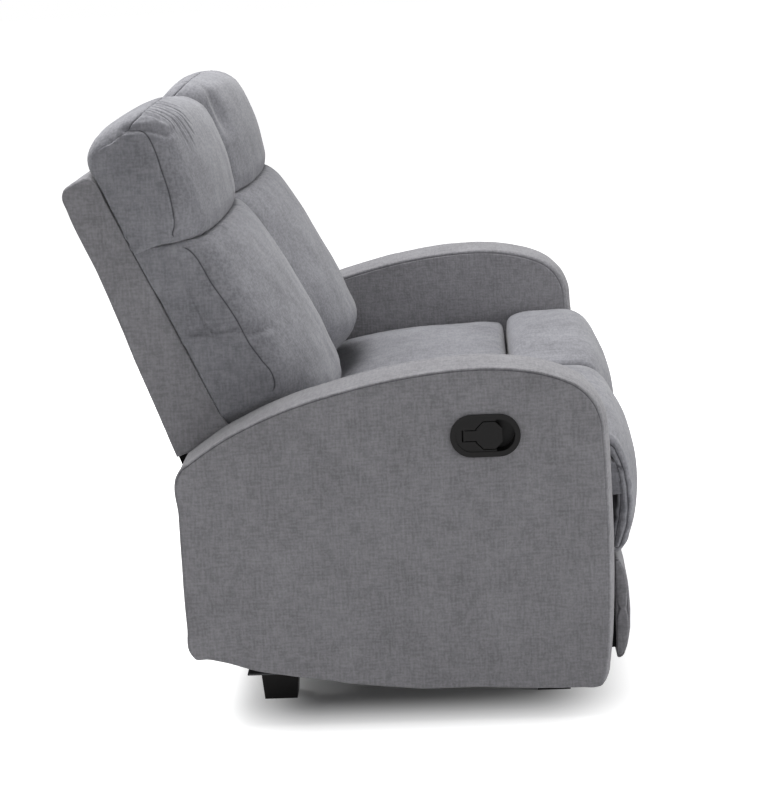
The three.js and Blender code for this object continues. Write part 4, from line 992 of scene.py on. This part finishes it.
def make_rear_pad(label, side):
    """The rear pad of a seat, hollowed a little where people sit."""
    middle = with_edge(dense_ring(REAR_SEAT_MIDDLE), 12)
    lower_crown(middle, 4, 420, 25)
    pad = Cushion(with_edge(dense_ring(REAR_SEAT_SIDE), 12), middle, 31 + side)
    pad.lumps(2.0)
    pad.side_seams(depth=1.6, pucker=0.8)
    top = np.clip((pad.grid[..., 2] - 430) / 20, 0, 1)
    pad.shift += -2.0 * top * np.exp(-((pad.grid[..., 0] / 150) ** 2))
    return pad.finish(f"seat_pillow_{label}", f"seat_{label}", [f"rear_seat_pad_{label}"], "seat",
                      side * (SEAT_CENTRE - PAD_SHIFT))


# The fold where the side of a front pad's nose meets its hanging part: depth behind the arm fronts, and
# height
FLAP_FOLD = ((-8.0, 414.0), (-31.0, 404.0))


def make_front_pad(label, side):
    """The front pad of a seat, rolled over its nose and hanging before the linkage in one piece."""
    outline = with_edge(dense_ring(FRONT_SEAT_SIDE), 9)
    outline[:, 2] += 6 * np.clip((outline[:, 1] - 400) / 60, 0, 1)
    middle = with_edge(dense_ring(FRONT_SEAT_MIDDLE), 9)
    lower_crown(middle, 8, 425, 40)
    # The seat nearer the camera is sat down a little more
    if side < 0:
        lower_crown(outline, 6, 435, 25)
        lower_crown(middle, 6, 435, 25)
    pad = Cushion(outline, middle, 51 + side, spine=FRONT_SEAT_SPINE, bulge=1)
    pad.lumps(1.8)
    pad.side_seams(depth=1.8, pucker=0.8)
    height = pad.grid[..., 2]
    outer = np.clip((np.abs(pad.grid[..., 0]) - 272) / 8, 0, 1)
    gap, _ = pad.from_line(FLAP_FOLD)
    pad.shift += -7 * np.exp(-((gap / 2.6) ** 2)) * outer
    # The strip along each side of the hanging part is gathered
    low = np.clip((400 - height) / 20, 0, 1) * np.clip((height - 245) / 20, 0, 1)
    pad.shift += 1.5 * np.sin(height / 5.2 + 2.5 * pad.noise(30, 5)) * low * outer
    bodies = (f"seat_{label}", f"flap_{label}")
    piece = pad.finish(f"front_pillow_{label}", bodies, [f"front_seat_pad_{label}", f"seat_flap_{label}"],
                       "seat", side * (SEAT_CENTRE - PAD_SHIFT))
    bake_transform(piece)
    return piece


def make_footrest_pad(label, side):
    """The padded front of a footrest."""
    side_outline, middle = (with_edge(dense_ring(outline), 7) for outline in (FOOTREST_SIDE, FOOTREST_MIDDLE))
    pad = Cushion(side_outline, middle, 71 + side, bulge=1)
    pad.lumps(1.4)
    pad.side_seams(depth=1.6, pucker=0.8)
    return pad.finish(f"footrest_pillow_{label}", f"footrest_{label}", [f"ottoman_pad_{label}"], "body",
                      side * SEAT_CENTRE)


# Handles and mechanism


def make_handle_face(label, side):
    """The flat face of a handle's plate, which fits closely round the stem and blade of the paddle."""
    turns = np.linspace(math.pi / 2, -math.pi / 2, 33)
    round_end = [(FACE_END + FACE_RADIUS * math.cos(turn), FACE_RADIUS * math.sin(turn)) for turn in turns]
    above = [(spot, -level) for spot, level in FACE_NOTCH[:0:-1]]
    outline = [(FACE_NOTCH[0][0], FACE_RADIUS), *round_end, *FACE_NOTCH, *above]
    points = [(side * width, HANDLE_CENTRE[0] + spot, HANDLE_CENTRE[1] + level)
              for width in HANDLE_FACE for spot, level in outline]
    count = len(outline)
    faces = [tuple(range(count)), tuple(range(2 * count - 1, count - 1, -1))]
    faces += [(index, count + index, count + (index + 1) % count, (index + 1) % count)
              for index in range(count)]
    if side > 0:
        faces = [face[::-1] for face in faces]
    piece = new_piece(f"handle_face_{label}", points, faces, "base", [], finish("plastic"))
    piece.data.polygons.foreach_set("use_smooth", [False] * len(faces))
    round_edges(piece, bpy.context.scene.sofa_sizes.face_edge)


def dress_mechanism():
    """Black steel for the frames, plates and links, wire for the springs, wood for the boards."""
    sizes = bpy.context.scene.sofa_sizes
    dress(("base_frame", "seat_plate_outer", "seat_plate_inner", "back_brackets"), "steel", sizes.plate_edge)
    dress(("drive_links", "parallel_links", "ottoman_links"), "steel", sizes.link_edge)
    dress(("spring_unit",), "wire")
    dress(("arm_frame", "arm_board"), "wood", sizes.board_edge)
    # The boards of the seat and footrest are wrapped in the black cloth that also closes the back
    dress(("seat_frame", "ottoman_frame"), "lining", sizes.board_edge)
    # The rail between the arms is wrapped in the body's velour
    dress_node("rear_rail", "body", sizes.rail_edge)


def dress_plastic():
    """Black plastic for the handles, the feet and the sheaths of the cables."""
    sizes = bpy.context.scene.sofa_sizes
    dress(("handle_bezel", "handle_paddle"), "plastic", sizes.handle_edge)
    dress(("foot_front_outer", "foot_front_inner", "foot_rear_outer", "foot_rear_inner"), "plastic",
          sizes.foot_edge)
    dress(("release_cable",), "plastic")


# The stage

# In metres: the camera's place, with its depth behind the arm fronts, and its angles in radians
CAMERA_PLACE = (-4.335343, 0.214978, 1.361333)
CAMERA_YAW, CAMERA_PITCH, CAMERA_ROLL = 0.04261, 0.215487, -0.047667
# Its focal length and the photograph's height in pixels, and the height of the film in millimetres
FOCAL_PIXELS, PHOTO_PIXELS, FILM_HEIGHT = 2221.04, 800, 36
# Each lamp's place, what it looks at, its sides and its power in watts
LAMPS = {
    "top light": ((0.4, 1.1, 3.6), (0, 0, 0.5), (2.6, 3.0), 185),
    "front light": ((-0.7, -3.2, 0.75), (0, 0, 0.5), (2.6, 0.9), 48),
    "side light": ((-3.6, 0.6, 0.6), (0, 0.1, 0.5), (3.0, 0.5), 19),
}
# Half the floor's side, and the patch under the sofa where the floor's glow is left out, a painted shadow
# over the real one: the depth of its middle, half its sides and the width of its soft edge
FLOOR_HALF = 30
SHADOW_DEPTH, SHADOW_HALF, SHADOW_FADE = -0.09, (0.58, 0.18), 0.26
# How bright the surround is as a light, and the brightness that rays from the camera see
SURROUND_LIGHT, SURROUND_SEEN = 0.17, 1.0


def photograph_camera():
    """The camera at the photograph's viewing angle."""
    forward = Vector((math.cos(CAMERA_YAW) * math.cos(CAMERA_PITCH),
                      math.sin(CAMERA_YAW) * math.cos(CAMERA_PITCH), -math.sin(CAMERA_PITCH)))
    level = Vector((math.sin(CAMERA_YAW), -math.cos(CAMERA_YAW), 0))
    raised = level.cross(forward)
    right = math.cos(CAMERA_ROLL) * level + math.sin(CAMERA_ROLL) * raised
    upward = -math.sin(CAMERA_ROLL) * level + math.cos(CAMERA_ROLL) * raised
    data = bpy.data.cameras.new("camera")
    data.sensor_fit = "VERTICAL"
    data.sensor_height = FILM_HEIGHT
    data.lens = FOCAL_PIXELS / PHOTO_PIXELS * FILM_HEIGHT
    camera = bpy.data.objects.new("camera", data)
    bpy.context.scene.collection.objects.link(camera)
    across, depth, height = CAMERA_PLACE
    place = Vector((across, depth + ARM_FRONT * MM, height))
    turn = Matrix((right, upward, -forward)).transposed().to_4x4()
    camera.matrix_world = Matrix.Translation(place) @ turn
    bpy.context.scene.camera = camera


def area_light(name, place, target, size, power):
    """A large soft lamp that looks at a point."""
    data = bpy.data.lights.new(name, "AREA")
    data.shape = "RECTANGLE"
    data.size, data.size_y = size
    data.energy = power
    lamp = bpy.data.objects.new(name, data)
    bpy.context.scene.collection.objects.link(lamp)
    lamp.location = place
    lamp.rotation_euler = (Vector(target) - Vector(place)).to_track_quat("-Z", "Y").to_euler()


def seen_rays(tree):
    """1 for what is seen, straight, in a reflection or through glass, and 0 for what gives light."""
    path = add_node(tree, "ShaderNodeLightPath").outputs
    seen = add_node(tree, "ShaderNodeMath", links={0: path["Is Camera Ray"], 1: path["Is Glossy Ray"]},
                    operation="MAXIMUM")
    return add_node(tree, "ShaderNodeMath", links={0: seen.outputs[0], 1: path["Is Transmission Ray"]},
                    operation="MAXIMUM").outputs[0]


def painted_floor(colour):
    """Matt white floor paint, pale, with a glow seen straight from the camera and in reflections; the glow
    washes it out but for a patch under the sofa, a painted shadow over the real one.
    """
    material, tree = start_material("pale painted floor")
    seen = seen_rays(tree)
    paint = add_node(tree, "ShaderNodeBsdfDiffuse", {"Color": colour})
    place = add_node(tree, "ShaderNodeTexCoord").outputs["Object"]
    # The floor's glow fades in with the distance from the patch under the sofa, which stays dark as a painted
    # shadow over the real one
    level = add_node(tree, "ShaderNodeVectorMath", {1: (0.0, -SHADOW_DEPTH, 0.0)}, {0: place},
                     operation="ADD")
    spread_out = add_node(tree, "ShaderNodeVectorMath", links={0: level.outputs[0]}, operation="ABSOLUTE")
    beyond = add_node(tree, "ShaderNodeVectorMath", {1: (*SHADOW_HALF, 0.0)}, {0: spread_out.outputs[0]},
                      operation="SUBTRACT")
    outside = add_node(tree, "ShaderNodeVectorMath", {1: (0.0, 0.0, 0.0)}, {0: beyond.outputs[0]},
                       operation="MAXIMUM")
    away = add_node(tree, "ShaderNodeVectorMath", links={0: outside.outputs[0]}, operation="LENGTH")
    # Painted shadow: no glow inside the patch under the sofa, full glow beyond its soft edge
    close = add_node(tree, "ShaderNodeMapRange",
                     {"From Min": 0.0, "From Max": SHADOW_FADE, "To Min": 0.0, "To Max": 1.0},
                     {"Value": away.outputs["Value"]}, interpolation_type="SMOOTHSTEP")
    glow = add_node(tree, "ShaderNodeEmission", {"Color": linear("#ffffff")},
                    {"Strength": close.outputs["Result"]})
    none = add_node(tree, "ShaderNodeEmission", {"Strength": 0.0})
    pick = add_node(tree, "ShaderNodeMixShader", links={0: seen, 1: none.outputs[0], 2: glow.outputs[0]})
    surface = add_node(tree, "ShaderNodeAddShader", links={0: paint.outputs[0], 1: pick.outputs[0]})
    add_node(tree, "ShaderNodeOutputMaterial", links={"Surface": surface.outputs[0]})
    return material


def make_stage():
    """A pale floor with a painted shadow patch over the real shadow, soft lamps, a white surround and the
    camera.
    """
    scene = bpy.context.scene
    scene.view_settings.view_transform = "Standard"
    chosen = scene.sofa_colours
    mesh = bpy.data.meshes.new("floor")
    corners = ((-1, -1), (1, -1), (1, 1), (-1, 1))
    mesh.from_pydata([(x * FLOOR_HALF, y * FLOOR_HALF, 0) for x, y in corners], [], [(0, 1, 2, 3)])
    mesh.materials.append(painted_floor(chosen.floor))
    floor = bpy.data.objects.new("floor", mesh)
    scene.collection.objects.link(floor)
    scene.world = bpy.data.worlds.new("studio")
    scene.world.use_nodes = True
    tree = scene.world.node_tree
    tree.nodes.clear()
    seen = seen_rays(tree)
    white = add_node(tree, "ShaderNodeBackground", {"Color": linear("#ffffff"), "Strength": SURROUND_SEEN})
    sky = add_node(tree, "ShaderNodeBackground", {"Color": chosen.surround, "Strength": SURROUND_LIGHT})
    pick = add_node(tree, "ShaderNodeMixShader", links={0: seen, 1: sky.outputs[0], 2: white.outputs[0]})
    add_node(tree, "ShaderNodeOutputWorld", links={"Surface": pick.outputs[0]})
    for name, settings in LAMPS.items():
        area_light(name, *settings)
    photograph_camera()


# The add-on


def length_setting(name, description, millimetres):
    """A size that the user can set, shown in the scene's unit of length."""
    return bpy.props.FloatProperty(name=name, description=description, default=millimetres * MM, min=0,
                                   unit="LENGTH", precision=4)


def colour_setting(name, description, hex_colour):
    """A colour that the user can set."""
    return bpy.props.FloatVectorProperty(name=name, description=description, default=linear(hex_colour),
                                         size=4, min=0, max=1, subtype="COLOR")


class SofaSizes(bpy.types.PropertyGroup):
    """Sizes that can be set before the sofa is built."""

    filling: bpy.props.FloatProperty(
        name="Filling", description="How uneven the filling is, against this sofa's", default=1, min=0, max=2,
        subtype="FACTOR")
    seams: bpy.props.FloatProperty(
        name="Seams", description="How deep the seams of the cushions are, against this sofa's", default=1,
        min=0, max=2, subtype="FACTOR")
    lining: length_setting("Lining", "Thickness of the cloth that closes the back", 0.6)
    handle_edge: length_setting("Handle edges", "Radius of the moulded edges of plate and paddle", 0.9)
    face_edge: length_setting("Plate's notch", "Radius of the edges round the paddle's stem and blade", 0.6)
    foot_edge: length_setting("Foot edges", "Radius of the moulded edges of the feet", 2.0)
    plate_edge: length_setting("Plate edges", "Radius of the pressed edges of frames and plates", 0.8)
    link_edge: length_setting("Link edges", "Radius of the pressed edges of the links", 0.5)
    board_edge: length_setting("Board edges", "Radius of the planed edges of boards and frames", 1.2)
    rail_edge: length_setting("Rail edges", "Radius of the rear rail's edges under its fabric", 3.0)


class SofaColours(bpy.types.PropertyGroup):
    """Colours that can be set before the sofa is built."""

    body_dark: colour_setting("Body, dark", "Body velour where the nap is dark", "#727174")
    body_light: colour_setting("Body, light", "Body velour where the nap is light", "#9a999d")
    seat_dark: colour_setting("Cushions, dark", "Cushion velour where the nap is dark", "#717176")
    seat_light: colour_setting("Cushions, light", "Cushion velour where the nap is light", "#98989d")
    thread: colour_setting("Thread", "Stitching in the seams", "#414145")
    plastic: colour_setting("Plastic", "Handles, feet and cable sheaths", "#0f0e0e")
    steel: colour_setting("Steel", "Paint of frames, plates and links", "#26272a")
    wire: colour_setting("Wire", "Springs under the seats", "#77787b")
    wood_dark: colour_setting("Wood, dark", "Late wood in the boards", "#a9834f")
    wood_light: colour_setting("Wood, light", "Early wood in the boards", "#cfae7c")
    lining_dark: colour_setting("Lining, dark", "Cloth that closes the back", "#131315")
    lining_light: colour_setting("Lining, light", "Its crossed fibres", "#2b2b2e")
    floor: colour_setting("Floor", "Paint of the floor", "#d8d8d8")
    surround: colour_setting("Surround", "Light from all round", "#f6f7fa")


class SOFA_OT_stage(bpy.types.Operator):
    """Makes the floor, the lamps, the surround and the camera."""

    bl_idname = "sofa.stage"
    bl_label = "Stage"

    def execute(self, context):
        make_stage()
        return {"FINISHED"}


class SOFA_OT_arms(bpy.types.Operator):
    """Makes the velour covers of both arms."""

    bl_idname = "sofa.arms"
    bl_label = "Arm covers"

    def execute(self, context):
        for label, side in SIDES:
            make_arm(label, side)
        return {"FINISHED"}


class SOFA_OT_shells(bpy.types.Operator):
    """Makes the wrapped outer shells of both backs."""

    bl_idname = "sofa.shells"
    bl_label = "Back shells"

    def execute(self, context):
        for label, side in SIDES:
            make_shell(label, side)
        return {"FINISHED"}


class SOFA_OT_headrests(bpy.types.Operator):
    """Makes both headrests."""

    bl_idname = "sofa.headrests"
    bl_label = "Headrests"

    def execute(self, context):
        for label, side in SIDES:
            make_headrest(label, side)
        return {"FINISHED"}


class SOFA_OT_back_cushions(bpy.types.Operator):
    """Makes the cushions of both backs."""

    bl_idname = "sofa.back_cushions"
    bl_label = "Back cushions"

    def execute(self, context):
        for label, side in SIDES:
            make_back_cushion(label, side)
        return {"FINISHED"}


class SOFA_OT_linings(bpy.types.Operator):
    """Makes the black cloths that close both backs from behind."""

    bl_idname = "sofa.linings"
    bl_label = "Linings"

    def execute(self, context):
        for label, side in SIDES:
            make_lining(label, side)
        return {"FINISHED"}


class SOFA_OT_rear_pads(bpy.types.Operator):
    """Makes the rear pads of both seats."""

    bl_idname = "sofa.rear_pads"
    bl_label = "Rear seat pads"

    def execute(self, context):
        for label, side in SIDES:
            make_rear_pad(label, side)
        return {"FINISHED"}


class SOFA_OT_front_pads(bpy.types.Operator):
    """Makes the front pads of both seats with their hanging flaps."""

    bl_idname = "sofa.front_pads"
    bl_label = "Front seat pads"

    def execute(self, context):
        for label, side in SIDES:
            make_front_pad(label, side)
        return {"FINISHED"}


class SOFA_OT_footrest_pads(bpy.types.Operator):
    """Makes the padded fronts of both footrests."""

    bl_idname = "sofa.footrest_pads"
    bl_label = "Footrest pads"

    def execute(self, context):
        for label, side in SIDES:
            make_footrest_pad(label, side)
        return {"FINISHED"}


class SOFA_OT_mechanism(bpy.types.Operator):
    """Gives frames, links, springs and boards their finishes."""

    bl_idname = "sofa.mechanism"
    bl_label = "Mechanism"

    def execute(self, context):
        dress_mechanism()
        return {"FINISHED"}


class SOFA_OT_plastic(bpy.types.Operator):
    """Gives handles, feet and cables their finish, and makes the flat faces of the handles' plates."""

    bl_idname = "sofa.plastic"
    bl_label = "Handles, feet and cables"

    def execute(self, context):
        dress_plastic()
        for label, side in SIDES:
            make_handle_face(label, side)
        return {"FINISHED"}


# In the order in which they build the sofa
OPERATORS = (
    SOFA_OT_stage, SOFA_OT_arms, SOFA_OT_shells, SOFA_OT_headrests, SOFA_OT_back_cushions, SOFA_OT_linings,
    SOFA_OT_rear_pads, SOFA_OT_front_pads, SOFA_OT_footrest_pads, SOFA_OT_mechanism, SOFA_OT_plastic,
)


class SOFA_PT_parts(bpy.types.Panel):
    """Lists what the sofa is built from, with its sizes and colours."""

    bl_label = "Sofa"
    bl_idname = "SOFA_PT_parts"
    bl_space_type = "VIEW_3D"
    bl_region_type = "UI"
    bl_category = "Sofa"

    def draw(self, context):
        for item in OPERATORS:
            self.layout.operator(item.bl_idname)
        for group in (context.scene.sofa_sizes, context.scene.sofa_colours):
            for name in type(group).__annotations__:
                self.layout.prop(group, name)


CLASSES = (SofaSizes, SofaColours, *OPERATORS, SOFA_PT_parts)


def register():
    """Adds the operators, the panel and the settings."""
    for item in CLASSES:
        bpy.utils.register_class(item)
    bpy.types.Scene.sofa_sizes = bpy.props.PointerProperty(type=SofaSizes)
    bpy.types.Scene.sofa_colours = bpy.props.PointerProperty(type=SofaColours)


def unregister():
    """Takes them away again."""
    del bpy.types.Scene.sofa_colours
    del bpy.types.Scene.sofa_sizes
    for item in reversed(CLASSES):
        bpy.utils.unregister_class(item)


def main():
    """Builds the whole sofa."""
    register()
    bpy.ops.sofa.stage()
    bpy.ops.sofa.arms()
    bpy.ops.sofa.shells()
    bpy.ops.sofa.headrests()
    bpy.ops.sofa.back_cushions()
    bpy.ops.sofa.linings()
    bpy.ops.sofa.rear_pads()
    bpy.ops.sofa.front_pads()
    bpy.ops.sofa.footrest_pads()
    bpy.ops.sofa.mechanism()
    bpy.ops.sofa.plastic()


if __name__ == "__main__":
    main()
